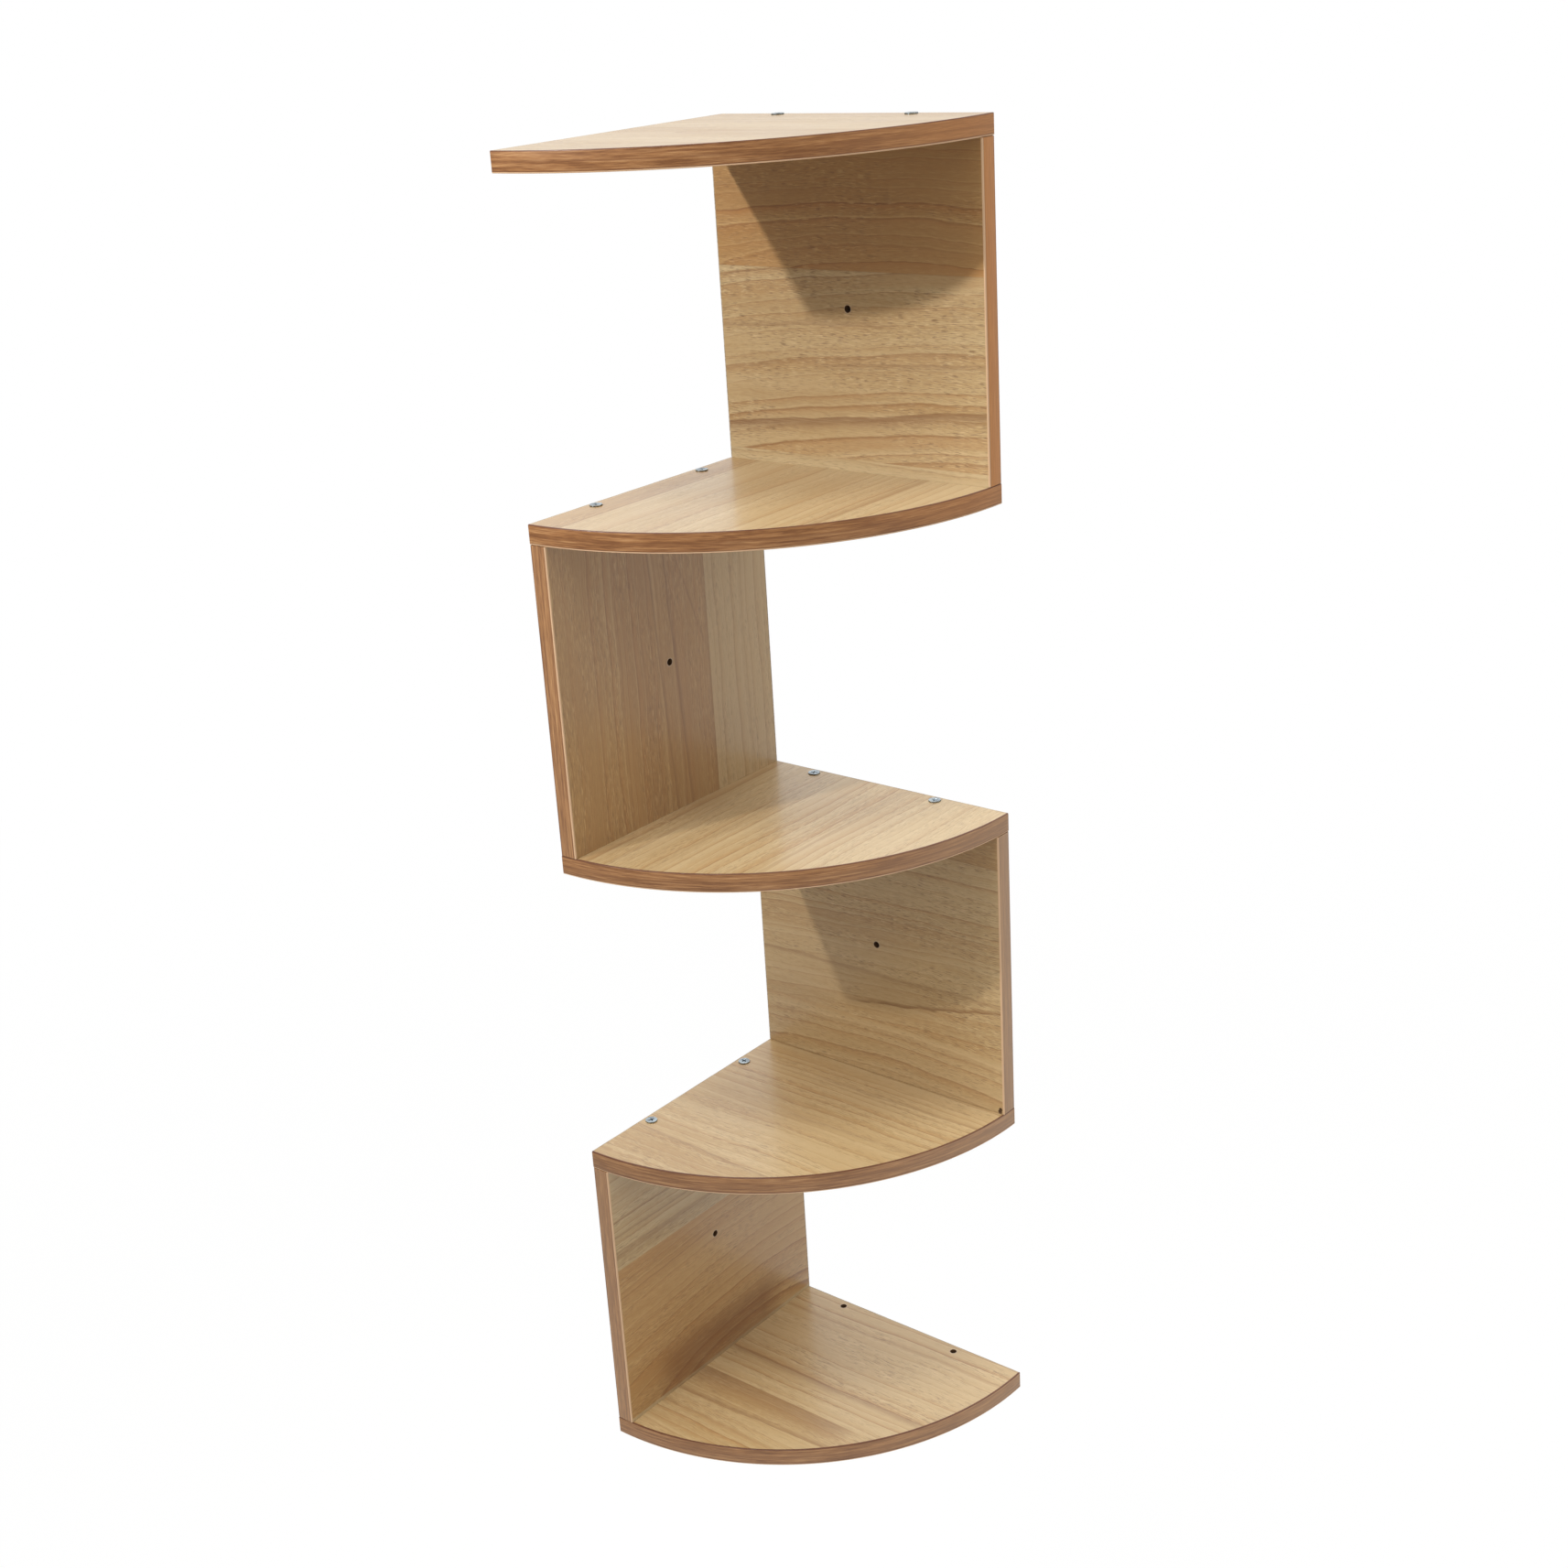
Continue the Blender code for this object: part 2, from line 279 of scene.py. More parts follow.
# %% World and floor
WHITE = (1.0, 1.0, 1.0, 1.0)
FILL = 1.8  # brightness of the soft light from straight overhead; it fades to none at the horizon
FILL_COLOUR = (0.99, 0.98, 0.96, 1.0)
HORIZON = (0.70, 0.68, 0.70, 1.0)  # colour of the far wall low down, as a reflection shows it
HORIZON_TOP = 0.28  # height in a direction of length 1 where that wall has turned white
ROOM = 0.20  # brightness of the room behind the camera, as a reflection shows it
ROOM_ENDS = (-0.35, 0.05)  # the Y of a direction over which the room turns into the background
FLOOR_DROP = 0.55  # from the lowest shelf down to the floor
FLOOR_SIZE = 8.0
FLOOR_WHITE = 0.96  # share of plain white in what is seen of the floor near the shelf
FLOOR_FAR = (1.2, 3.0)  # distances over which that share grows to all
FLOOR_MIRROR = 0.65  # brightness of the floor behind the shelf, as a reflection shows it
FLOOR_FRONT = (-1.6, -0.3)  # the Y over which the floor's brightness rises from the room's to that


def is_camera(tree):
    """1 for what the camera sees itself."""
    return add(tree, "LightPath").outputs["Is Camera Ray"]


def seen_directly(tree):
    """1 for what the camera, a reflection or a clear material sees, and 0 for light on its way."""
    path = add(tree, "LightPath").outputs
    mirrored = maths("MAXIMUM", path["Is Glossy Ray"], path["Is Transmission Ray"])
    return maths("MAXIMUM", path["Is Camera Ray"], mirrored)


world = bpy.data.worlds.new("studio")
world.use_nodes = True
world.cycles.sampling_method = "NONE"
tree = world.node_tree
tree.nodes.clear()
direction = add(tree, "TexCoord").outputs["Generated"]
backdrop = ramped(part(direction, "Y"), *ROOM_ENDS, ROOM, 1.0)
overhead = times(maths("MAXIMUM", part(direction, "Z"), 0.0), FILL)
fill = add(tree, "Background", (FILL_COLOUR, overhead))
clear = maths("MAXIMUM", ramped(part(direction, "Z"), 0.0, HORIZON_TOP), is_camera(tree))
sky = blended(clear, HORIZON, WHITE)
white = add(tree, "Background", (sky, maths("MAXIMUM", backdrop, is_camera(tree))))
add(tree, "OutputWorld", (add(tree, "MixShader", (seen_directly(tree), fill, white)),))
bpy.context.scene.world = world

floor_mesh = bpy.data.meshes.new("floor")
side = FLOOR_SIZE / 2
corners = [(-side, -side), (side, -side), (side, side), (-side, side)]
floor_mesh.from_pydata([(x, y, -FLOOR_DROP) for x, y in corners], [], [(0, 1, 2, 3)])
floor = bpy.data.objects.new("floor", floor_mesh)
bpy.context.scene.collection.objects.link(floor)

paint, tree = new_material("pale_floor")
tree.nodes.clear()
place = own_place(tree)
pale = blended(noise(place, (3, 3, 3), detail=4), rgb(224, 224, 222), rgb(232, 232, 230))
lit = add(tree, "BsdfDiffuse", Color=pale)
mirrored = ramped(part(place, "Y"), *FLOOR_FRONT, ROOM, FLOOR_MIRROR)
glow = add(tree, "Emission", (WHITE, maths("MAXIMUM", mirrored, is_camera(tree))))
share = times(seen_directly(tree), ramped(length(place), *FLOOR_FAR, FLOOR_WHITE, 1.0))
add(tree, "OutputMaterial", (add(tree, "MixShader", (share, lit, glow)),))
floor_mesh.materials.append(paint)
print(f"floor {FLOOR_DROP} m below the lowest shelf")

# %% [markdown]
# The key lamp stands on the left, high and in front. It is small, so the shadows that it draws on the
# first and the third upright are crisp. A wide lamp, higher still and a little cooler, lights the
# lower shelves.

# %% Lamps
def lamp(name, place, target, watts, angle, size):
    """A spot lamp that faces a target, fades to its rim and isn't seen itself."""
    light = bpy.data.lights.new(name, "SPOT")
    light.energy, light.shadow_soft_size = watts, size
    light.spot_size, light.spot_blend = math.radians(angle), 1.0
    holder = bpy.data.objects.new(name, light)
    bpy.context.scene.collection.objects.link(holder)
    holder.location = place
    holder.rotation_euler = (Vector(place) - Vector(target)).to_track_quat("Z", "Y").to_euler()
    holder.visible_camera = False
    print(f"{name}: {watts} W")
    return light


lamp("key_lamp", (-0.67, -1.96, 1.83), target=(0.10, 0.0, 0.78), watts=132.0, angle=31, size=0.045)
panel = lamp("soft_panel", (0.25, -1.75, 3.7), target=(0.08, -0.1, -0.3), watts=600.0, angle=19,
             size=0.8)
panel.color = (0.90, 0.96, 1.0)

# %% [markdown]
# ## A group for the laminate's print
# The board's skin is a printed photograph of planks. A flat-sawn plank shows growth rings as long
# arches: the distance to the tree's pith grows both across the plank and, as the trunk tapers, along
# it. So the rings are drawn on the length of a two-part vector, (across, taper x along), which gives
# arches where the pith lies in the plank and nearly straight lines where it lies beside it. A year
# darkens slowly, ends in a sharp line and starts again with a pale gleam, and good years are bolder
# than poor ones: the fraction and the whole part of the ring count give all this. Fine fibres, short
# dark pores and pale flecks run along the grain. It works in millimetres, so its numbers can be
# checked with a ruler.

# %% Print of one plank
def build_plank_print():
    """The masks of a plank's figure at a place in mm along and across the grain."""
    takes = {"Along": 0.0, "Across": 0.0, "Pith": 30.0, "Apex": 0.0, "Taper": 0.1, "Ring": 7.0,
             "Sway": 8.0, "Bold": 1.0, "Pores": 1.0, "Seed": 0.0}
    gives = ("Rings", "Edges", "Gleams", "Fibres", "Flecks", "Pores", "Clouds")
    tree, takes, exits = new_group("plank_print", "ShaderNodeTree", takes, gives)
    seed = times(takes["Seed"], 17.3)
    place = joined(takes["Along"], takes["Across"], seed)
    slow = wander(place, (0.009, 0.020, 1), detail=1)
    sway = times_plus(wander(place, (0.040, 0.10, 1), detail=3), 0.30, slow)
    across = times_plus(sway, takes["Sway"], takes["Across"])

    from_pith = minus(across, takes["Pith"])
    tapered = times(minus(takes["Along"], takes["Apex"]), takes["Taper"])
    distance = length(joined(from_pith, tapered, 0.0))
    count = plus(maths("DIVIDE", distance, takes["Ring"]), seed)
    uneven = add(tree, "TexNoise", W=count, Scale=0.8, Detail=1.0, noise_dimensions="1D")
    turns = times_plus(uneven, 1.5, count)
    year = add(tree, "TexWhiteNoise", W=maths("FLOOR", turns), noise_dimensions="1D")
    weight = times_plus(maths("POWER", year.outputs["Value"], 1.4), 0.75, 0.25)
    weight = times(weight, takes["Bold"])
    season = maths("FRACT", turns)
    winter = faded(season, 0.92, 1.0)
    rings = times(times(maths("POWER", season, 1.7), winter), weight)
    edges = times(times(ramped(season, 0.80, 0.92), winter), weight)
    gleams = times(faded(season, 0.0, 0.14), weight)

    bent = joined(takes["Along"], across, seed)
    long_fibres = noise(bent, (0.014, 0.62, 1), detail=3, roughness=0.65)
    fibres = times_plus(noise(bent, (0.20, 1.5, 1)), 0.45, times(long_fibres, 0.55))
    crowd = ramped(noise(bent, (0.012, 0.06, 2), detail=1), 0.36, 0.60, 0.25, 1.0)
    crowd = times(crowd, takes["Pores"])
    pores = times(ramped(noise(bent, (0.16, 2.1, 3), detail=1), 0.56, 0.66), crowd)
    flecks = times(ramped(noise(bent, (0.14, 1.7, 7), detail=1), 0.56, 0.66), crowd)
    return give(exits, Rings=rings, Edges=edges, Gleams=gleams, Fibres=fibres, Flecks=flecks,
                Pores=pores, Clouds=noise(bent, (0.004, 0.055, 1)))


PLANK_PRINT = build_plank_print()

# %% [markdown]
# ## A group for one dark line
# Here and there a single late-wood line stands out, darker than the rest, and the seams between the
# printed planks are lines as well. One group draws a thin line that wanders a little. Its mask is 1
# on the line and fades before it and after it over two lengths of their own, because a ring is sharp
# on one side and soft on the other.

# %% Print of one line
LINE_END = 30.0  # mm over which a line fades in and out along its run


def build_grain_line():
    """A line that starts at a place across the grain, slants, and wanders as it runs."""
    takes = {"Along": 0.0, "Across": 0.0, "Start": 0.0, "Slant": 0.0, "Before": 1.0, "After": 1.0,
             "Wander": 2.0, "From": -50.0, "Until": 999.0, "Seed": 0.0}
    tree, takes, exits = new_group("grain_line", "ShaderNodeTree", takes, ("Mask",))
    along, across = takes["Along"], takes["Across"]
    place = joined(along, 0.0, times(takes["Seed"], 9.7))
    drift = wander(place, (0.022, 1, 1), detail=3, roughness=0.6)
    middle = times_plus(along, takes["Slant"], takes["Start"])
    offset = minus(across, times_plus(drift, takes["Wander"], middle))
    after = faded(offset, 0.0, takes["After"])
    before = faded(times(offset, -1.0), 0.0, takes["Before"])
    ink = times(maths("POWER", after, 1.5), maths("POWER", before, 1.5))
    begun = ramped(along, takes["From"], plus(takes["From"], LINE_END))
    ended = faded(along, minus(takes["Until"], LINE_END), takes["Until"])
    ink = times(ink, times(begun, ended))
    rough = noise(joined(along, across, 3.0), (0.05, 0.9, 1))
    return give(exits, Mask=times(ink, ramped(rough, 0.2, 0.55, 0.45, 1.0)))


GRAIN_LINE = build_grain_line()

# %% [markdown]
# ## A group for the rim of a drilled hole
# A drill lifts the paper of the print round its hole, and the paler core shows in a ragged ring. The
# group takes a hole's centre and the two directions across it, so the same ring works on a shelf and
# on an upright. It puts out a mask, and the material mixes its own colour in.

# %% Rim of a hole
def build_hole_rim():
    """The mask of a hole and of a ragged ring round it."""
    takes = {"Place": (0, 0, 0), "Centre": (0, 0, 0), "Across": (1, 1, 0), "Radius": 0.00225,
             "Ragged": 0.0006}
    tree, takes, exits = new_group("hole_rim", "ShaderNodeTree", takes, ("Rim",))
    flat = vector_maths("MULTIPLY", vector_maths("SUBTRACT", takes["Place"], takes["Centre"]),
                        takes["Across"])
    torn = times(noise(takes["Place"], (900, 900, 900)), takes["Ragged"])
    return give(exits, Rim=faded(minus(minus(length(flat), takes["Radius"]), torn), -0.0001, 0.0004))


HOLE_RIM = build_hole_rim()

# %% [markdown]
# ## The laminate of each board
# Every board was cut out of the same printed sheet, so the nine boards share their colours and their
# kinds of line, but the planks and their seams lie in other places on each one, and on three boards
# the grain is turned. A table says for each board which way the grain runs, where a plank ends, where
# its pith is, and which single lines stand out, and on four boards how much painted light and shade
# runs along the grain. The choice between two planks is a hard step, so their seam stays crisp.

# %% Where the planks lie on each board
RIGHT, LEFT, UP, DOWN = (1, 0, 0), (0, -1, 0), (0, 0, 1), (0, 0, -1)  # right and left from the corner
TO_CORNER = (0, 1, 0)  # along the left wall


def plank(until=999, pith=300, apex=60, taper=0.12, ring=8.0, sway=9, bold=1.0, pores=1.0, tone=0.0,
          warm=0.0):
    """One plank of the print. Its lengths are in mm, and tone and warm shift its colour; warm is
    partly the wood's own redder tone and partly painted warm shade.
    """
    return dict(until=until, Pith=pith, Apex=apex, Taper=taper, Ring=ring, Sway=sway, Bold=bold,
                Pores=pores, tone=tone, warm=warm)


def line(start, slant=0.0, before=0.6, after=5.0, wander=4.0, strength=0.6, span=(-50.0, 999.0)):
    """One dark line of the print, from start mm across the grain, and over a span along it."""
    return dict(Start=start, Slant=slant, Before=before, After=after, Wander=wander, strength=strength,
                From=span[0], Until=span[1])


def sheet(along, across, planks, lines, drift=0.0):
    """The print of one board. drift is painted light and shade: it darkens the board along the grain,
    or pales it when it is negative.
    """
    return dict(along=along, across=across, planks=planks, lines=lines, drift=drift)


PRINTS = {
    "shelf_1": sheet(RIGHT, LEFT, [
        plank(37.5, bold=0.6, tone=0.15), plank(160, pith=100, apex=130, taper=0.16, bold=0.6),
        plank(bold=0.6, tone=-0.1)], [line(37.5, 0, 0.3, 1.5, 1, 0.4)]),
    "shelf_2": sheet(LEFT, RIGHT, [
        plank(22, bold=0.6, tone=0.6, warm=0.2),
        plank(152, pith=-120, apex=40, taper=0.14, bold=0.9, tone=-0.1),
        plank(pith=-200, tone=-0.8, bold=0.8)],
        [line(151.5, 0, 11, 0.6, 1, 0.4), line(22, 0, 3, 0.4, 0.5, 0.3)]),
    "shelf_3": sheet(LEFT, RIGHT, [
        plank(116, pith=-90, apex=90, taper=0.1, tone=-0.1),
        plank(pith=-150, apex=20, taper=0.1, bold=0.9, tone=-0.3)],
        [line(33, 0, 5, 0.7, 3, 0.35, (60, 999)), line(60, 0, 4, 0.6, 3, 0.25),
         line(118, 0, 0.6, 6, 0.6, 0.3)]),
    "shelf_4": sheet(RIGHT, LEFT, [
        plank(152, pith=-160, apex=150, ring=9, warm=0.2),
        plank(pith=60, apex=-60, taper=0.25, tone=0.25, bold=0.9, sway=14, warm=0.1)],
        [line(39, -0.015, 5, 0.8, 5, 0.35, (50, 999)), line(86, -0.02, 0.8, 6, 4, 0.3, (60, 999)),
         line(150, 0.05, 0.8, 5, 3, 0.4)], drift=-0.22),
    "shelf_5": sheet(RIGHT, LEFT, [
        plank(116, pith=-180, apex=-20, taper=0.2, tone=-0.25, pores=1.2, bold=1.1, ring=9, warm=0.2),
        plank(pith=290, apex=20, warm=0.2)],
        [line(86, -0.01, 0.7, 9, 6, 0.55, (-50, 190)), line(116, 0, 0.3, 30, 0.5, 0.6, (-50, 150)),
         line(147, -0.05, 7, 0.7, 3, 0.55)], drift=-0.14),
    "upright_1": sheet(RIGHT, DOWN, [
        plank(75, pith=84, apex=140, taper=0.17, sway=11, tone=0.35, warm=1.0, bold=1.4),
        plank(187.5, pith=330, apex=280, taper=0.32, ring=9, tone=-0.1, warm=0.25, pores=1.4,
              bold=1.1),
        plank(tone=-0.9, bold=0.4)],
        [line(171, -0.10, 0.8, 10, 6, 0.75), line(136, -0.06, 0.6, 5, 4, 0.35, (60, 999)),
         line(112, -0.05, 5, 0.8, 5, 0.35, (-50, 140)), line(75, 0, 0.3, 1.0, 0.4, 0.25)]),
    "upright_2": sheet(DOWN, TO_CORNER, [
        plank(134, taper=0.10, sway=7, tone=0.35, bold=0.9, ring=7, warm=0.75),
        plank(pith=400, tone=-0.95, bold=0.5, warm=0.3)],
        [line(81, 0.065, 0.9, 3, 3, 0.45), line(95, 0.065, 0.9, 4, 3, 0.5),
         line(96, 0.36, 1.0, 2.5, 4, 0.4, (20, 105)), line(134, 0, 5, 0.4, 0.4, 0.3)], drift=0.08),
    "upright_3": sheet(RIGHT, DOWN, [
        plank(22.5, tone=0.3, bold=0.7, warm=0.6),
        plank(155, pith=330, apex=260, taper=0.3, tone=-0.15, pores=1.4, warm=0.25),
        plank(pith=215, apex=110, taper=0.22, tone=-0.25, bold=0.8, ring=10, warm=0.35)],
        [line(158, -0.18, 3.5, 0.9, 11, 0.8, (62, 999)), line(120, -0.02, 0.8, 5, 5, 0.35),
         line(22.5, 0, 1.5, 0.3, 0.4, 0.25)]),
    "upright_4": sheet(TO_CORNER, DOWN, [
        plank(75, pith=-200, apex=-40, taper=0.06, sway=5, tone=-0.1, bold=0.8),
        plank(192, pith=206, apex=132, taper=0.30, tone=0.15, ring=10, warm=0.95, bold=1.3),
        plank(tone=-0.75, bold=0.4)],
        [line(39, 0.01, 2.5, 0.8, 3, 0.5), line(50, 0.01, 2.5, 0.8, 3, 0.5),
         line(61, 0.02, 0.7, 14, 1, 0.4), line(97, -0.06, 0.8, 1.5, 3, 0.5, (-50, 110)),
         # The broad soft line at 172 mm is painted shade low in the middle of this upright.
         line(172, 0, 26, 80, 8, 0.7, (20, 170)), line(166, 0.03, 0.7, 5, 8, 0.5, (85, 185))],
        drift=-0.30),
}
print(f"planks: { {name: len(each['planks']) for name, each in PRINTS.items()} }")

# %% [markdown]
# The colours were picked for a board under even light. The finish of melamine laminate is a satin
# gloss: seen at a low angle, the shelf tops mirror the white room, which is why the upper shelves
# look paler than the lower ones. That comes from the shader's own Fresnel term, not from the colour.

# %% Laminate material
HONEY_PALE, HONEY, HONEY_DARK = rgb(194, 169, 126), rgb(173, 141, 93), rgb(134, 96, 58)
AMBER, CREAM = rgb(172, 130, 78), rgb(212, 188, 144)
LINE_INK, PORE_BROWN = rgb(128, 86, 45), rgb(112, 80, 48)
# The warm tint is partly the print's redder wood and partly painted warm shade, for bounce light in
# shaded parts.
WARM_TINT = (1.0, 0.84, 0.65, 1.0)
TORN_CORE = rgb(186, 160, 128)
FIGURE = (("Rings", 0.9, AMBER), ("Gleams", 0.4, CREAM), ("Edges", 0.5, HONEY_DARK),
          ("Flecks", 0.45, CREAM), ("Pores", 0.45, PORE_BROWN))  # each with its share and colour
LAMINATE_GLOSS = {"IOR": 1.75, "Coat_Weight": 0.4, "Coat_Roughness": 0.18}
BOARD_LIGHT_SPAN = (20.0, 185.0)  # mm along the grain
SEED_STEP = 0.37


def turned_to(along, across, origin):
    """The turn and shift of a Mapping node that lays X along the grain and Y across it, in mm."""
    along, across = Vector(along), Vector(across)
    turn = Matrix((along, across, along.cross(across)))
    return turn.to_euler(), -(turn @ Vector(origin)) * 1000


def plank_value(across, planks, key):
    """A plank's value at a place across the grain, in one hard step from each plank to the next."""
    value = planks[0][key]
    for before, after in zip(planks, planks[1:]):
        if output_of(value) is None and value == after[key]:
            continue
        is_past = maths("GREATER_THAN", across, before["until"])
        value = chosen(is_past, value, after[key])
    return value


def laminate(board, print_name, seed, holes=()):
    """The printed skin of one board, with a torn rim round each of its open holes."""
    each = PRINTS[print_name]
    ways = each["along"], each["across"]
    origin = [high if a + c < 0 else low for low, high, a, c in zip(*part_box(board), *ways)]
    turn, shift = turned_to(*ways, origin)
    material, tree = new_material(f"{print_name}_laminate")
    place = own_place(tree)
    laid = add(tree, "Mapping", Vector=place, Location=shift, Rotation=turn, Scale=(1000, 1000, 1000))
    here = {"Along": part(laid, "X"), "Across": part(laid, "Y")}
    planks = [dict(p, Seed=seed + SEED_STEP * i) for i, p in enumerate(each["planks"])]
    values = {key: plank_value(here["Across"], planks, key) for key in planks[0] if key != "until"}
    tone, warm = values.pop("tone"), values.pop("warm")
    grain = add(tree, "Group", node_tree=PLANK_PRINT, **here, **values).outputs

    depth = times_plus(grain["Clouds"], 0.42, times(grain["Fibres"], 0.55))
    depth = times_plus(tone, 0.35, depth)
    # Painted light and shade: the drift darkens the board along the grain, or pales it.
    depth = times_plus(ramped(here["Along"], *BOARD_LIGHT_SPAN), each["drift"], depth)
    base = layered(HONEY_PALE, (ramped(depth, 0.32, 0.66), HONEY),
                   (ramped(depth, 0.62, 0.95, 0.0, 0.7), HONEY_DARK),
                   *[(times(grain[mask], share), colour) for mask, share, colour in FIGURE])
    ink = None
    for number, spec in enumerate(each["lines"]):
        values = here | spec | {"Seed": seed + number}
        strength = values.pop("strength")
        mask = times(add(tree, "Group", node_tree=GRAIN_LINE, **values), strength)
        ink = maths("MAXIMUM", ink, mask) if ink else mask
    base = blended(ink, base, LINE_INK)
    # Partly painted warm shade.
    base = blended(warm, base, WARM_TINT, blend_type="MULTIPLY")
    for centre, flat in holes:
        rim = add(tree, "Group", node_tree=HOLE_RIM, Place=place, Centre=centre, Across=flat)
        base = blended(rim, base, TORN_CORE)

    smear = noise(laid, (0.02, 0.035, 0.02), detail=3)
    gloss = times_plus(grain["Fibres"], 0.08, ramped(smear, 0.3, 0.7, 0.32, 0.38))
    relief = times_plus(grain["Pores"], -1.0, grain["Fibres"])
    shaded(tree, base, gloss, relief, 0.2, **LAMINATE_GLOSS)
    return material


print("laminate material is ready")

# %% [markdown]
# Inside a hole the board is raw chipboard: coarse flakes of several browns, dull and rough. It is one
# material for all holes, on a cellular texture, and a cutter carries it into the board.

# %% Chipboard core
CHIP_PALE, CHIP_DARK = rgb(116, 84, 52), rgb(56, 36, 20)


def chipboard():
    """The raw core of the board."""
    material, tree = new_material("chipboard_core")
    place = own_place(tree)
    flakes = add(tree, "TexVoronoi", Vector=place, Scale=700.0)
    grain = noise(place, (500, 500, 1500), detail=3)
    share = times_plus(flakes.outputs["Distance"], 0.5, times(grain, 0.6))
    shaded(tree, blended(share, CHIP_DARK, CHIP_PALE), ramped(grain, 0.2, 0.8, 0.75, 0.95), grain, 0.5,
           0.0002)
    return material


CORE = chipboard()
print("chipboard_core is ready")

# %% [markdown]
# ## Growing a piece from a tree
# A Geometry Nodes tree is a recipe with named inputs. One helper puts it on a host mesh, sets the
# inputs by their sockets' identifiers, adds a fine bevel where a piece has an arris, and keeps the
# evaluated result as a plain mesh. The modifiers go away, so nothing is left to recompute.

# %% Grow, keep and ride
ARRIS_ANGLE = math.radians(40)


def grown(name, tree, values, host=None, arris=0.0):
    """Grows a piece with a tree on a host mesh, and keeps it as a plain mesh at the origin."""
    piece = bpy.data.objects.new(name, host or bpy.data.meshes.new(name))
    bpy.context.scene.collection.objects.link(piece)
    recipe = piece.modifiers.new(tree.name, "NODES")
    recipe.node_group = tree
    for item in tree.interface.items_tree:
        if item.item_type == "SOCKET" and item.in_out == "INPUT" and item.name in values:
            recipe[item.identifier] = values[item.name]
    if arris:
        bevel = piece.modifiers.new("arris", "BEVEL")
        bevel.width, bevel.segments = arris, 2
        bevel.limit_method, bevel.angle_limit = "ANGLE", ARRIS_ANGLE
        bevel.harden_normals = True
    evaluated = piece.evaluated_get(bpy.context.evaluated_depsgraph_get())
    mesh = bpy.data.meshes.new_from_object(evaluated)
    piece.modifiers.clear()
    piece.data = mesh
    mesh.name = name
    return piece


def mount(piece, slot, *nodes):
    """Lets a piece ride on the shelf in place of CAD nodes, which it hides. slot is not used."""
    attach(piece, "root")
    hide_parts(*nodes)
    faces = sum(len(face.vertices) - 2 for face in piece.data.polygons)
    print(f"{piece.name}: {faces} triangles for {', '.join(nodes[:3])}")


print("grown and mount are ready")

# %% [markdown]
# The trees share a few steps: several pieces of geometry become one, a piece is raised, a value is
# noted on each point before the next step changes it, and the end is always plain geometry with its
# material.

# %% Steps that the trees share
def new_tree(name, takes):
    """An empty Geometry Nodes tree with named inputs and one geometry output."""
    tree, takes, exits = new_group(name, "GeometryNodeTree", takes, ("Geometry",), "Geometry")
    tree.is_modifier = True
    return tree, takes, exits


def together(*pieces):
    """Several pieces of geometry as one."""
    both = add(tree_of(*pieces), "JoinGeometry")
    for piece in pieces:
        tree_of(piece).links.new(output_of(piece), both.inputs[0])
    return both


def raised(geometry, height):
    """Geometry lifted by a height."""
    offset = joined(0.0, 0.0, height)
    return add(tree_of(geometry), "SetPosition", Geometry=geometry, Offset=offset)


def cut_away(blank, cutters):
    """A blank without what the cutters cover."""
    return add(tree_of(cutters), "MeshBoolean", Mesh_1=blank, Mesh_2=cutters, Self_Intersection=True,
               operation="DIFFERENCE", solver="EXACT")


def captured(geometry, kind, value):
    """Geometry that carries a value along, and the value as it was at this step."""
    node = add(tree_of(geometry), "CaptureAttribute")
    node.capture_items.new(kind, "value")
    tree_of(geometry).links.new(output_of(geometry), node.inputs["Geometry"])
    tree_of(geometry).links.new(output_of(value), node.inputs["value"])
    return node.outputs["Geometry"], node.outputs["value"]


def noted(geometry, name, value):
    """Geometry whose points keep a vector under a name, for a material to read."""
    return add(tree_of(geometry), "StoreNamedAttribute", Geometry=geometry, Name=name, Value=value,
               data_type="FLOAT_VECTOR", domain="POINT")


def coated(geometry, material):
    return add(tree_of(geometry), "SetMaterial", Geometry=geometry, Material=material)


def realized(geometry):
    return add(tree_of(geometry), "RealizeInstances", Geometry=geometry)


def smoothed(geometry):
    return add(tree_of(geometry), "SetShadeSmooth", Geometry=geometry)


print("shared steps are ready")

# %% [markdown]
# ## Drilling
# Screws, wall screws and spare places all need holes. Each hole is one point with its own numbers:
# the direction it is drilled in, its radius, its depth and, where a screw head sinks in, the radius
# of the countersink's mouth. A nested tree turns the points into cutters and takes them out of a
# blank with one Boolean. A cutter runs a little past the face that it opens, or the two faces would
# fall together.

# %% The drilling tree
HOLE_SIDES = 40
OVERRUN = 0.001


def point_value(tree, name, kind="FLOAT"):
    """A value that each point of the host mesh carries."""
    return add(tree, "InputNamedAttribute", (name,), data_type=kind)


def standing(axis, turn=0.0):
    """The rotation that lays a cutter's or a screw's Z along an axis, after a turn about itself."""
    tree = tree_of(axis)
    lying = add(tree, "AlignRotationToVector", Vector=axis, axis="Z")
    spin = add(tree, "AxisAngleToRotation", ((0.0, 0.0, 1.0), turn))
    return add(tree, "RotateRotation", (lying, spin), rotation_space="LOCAL")


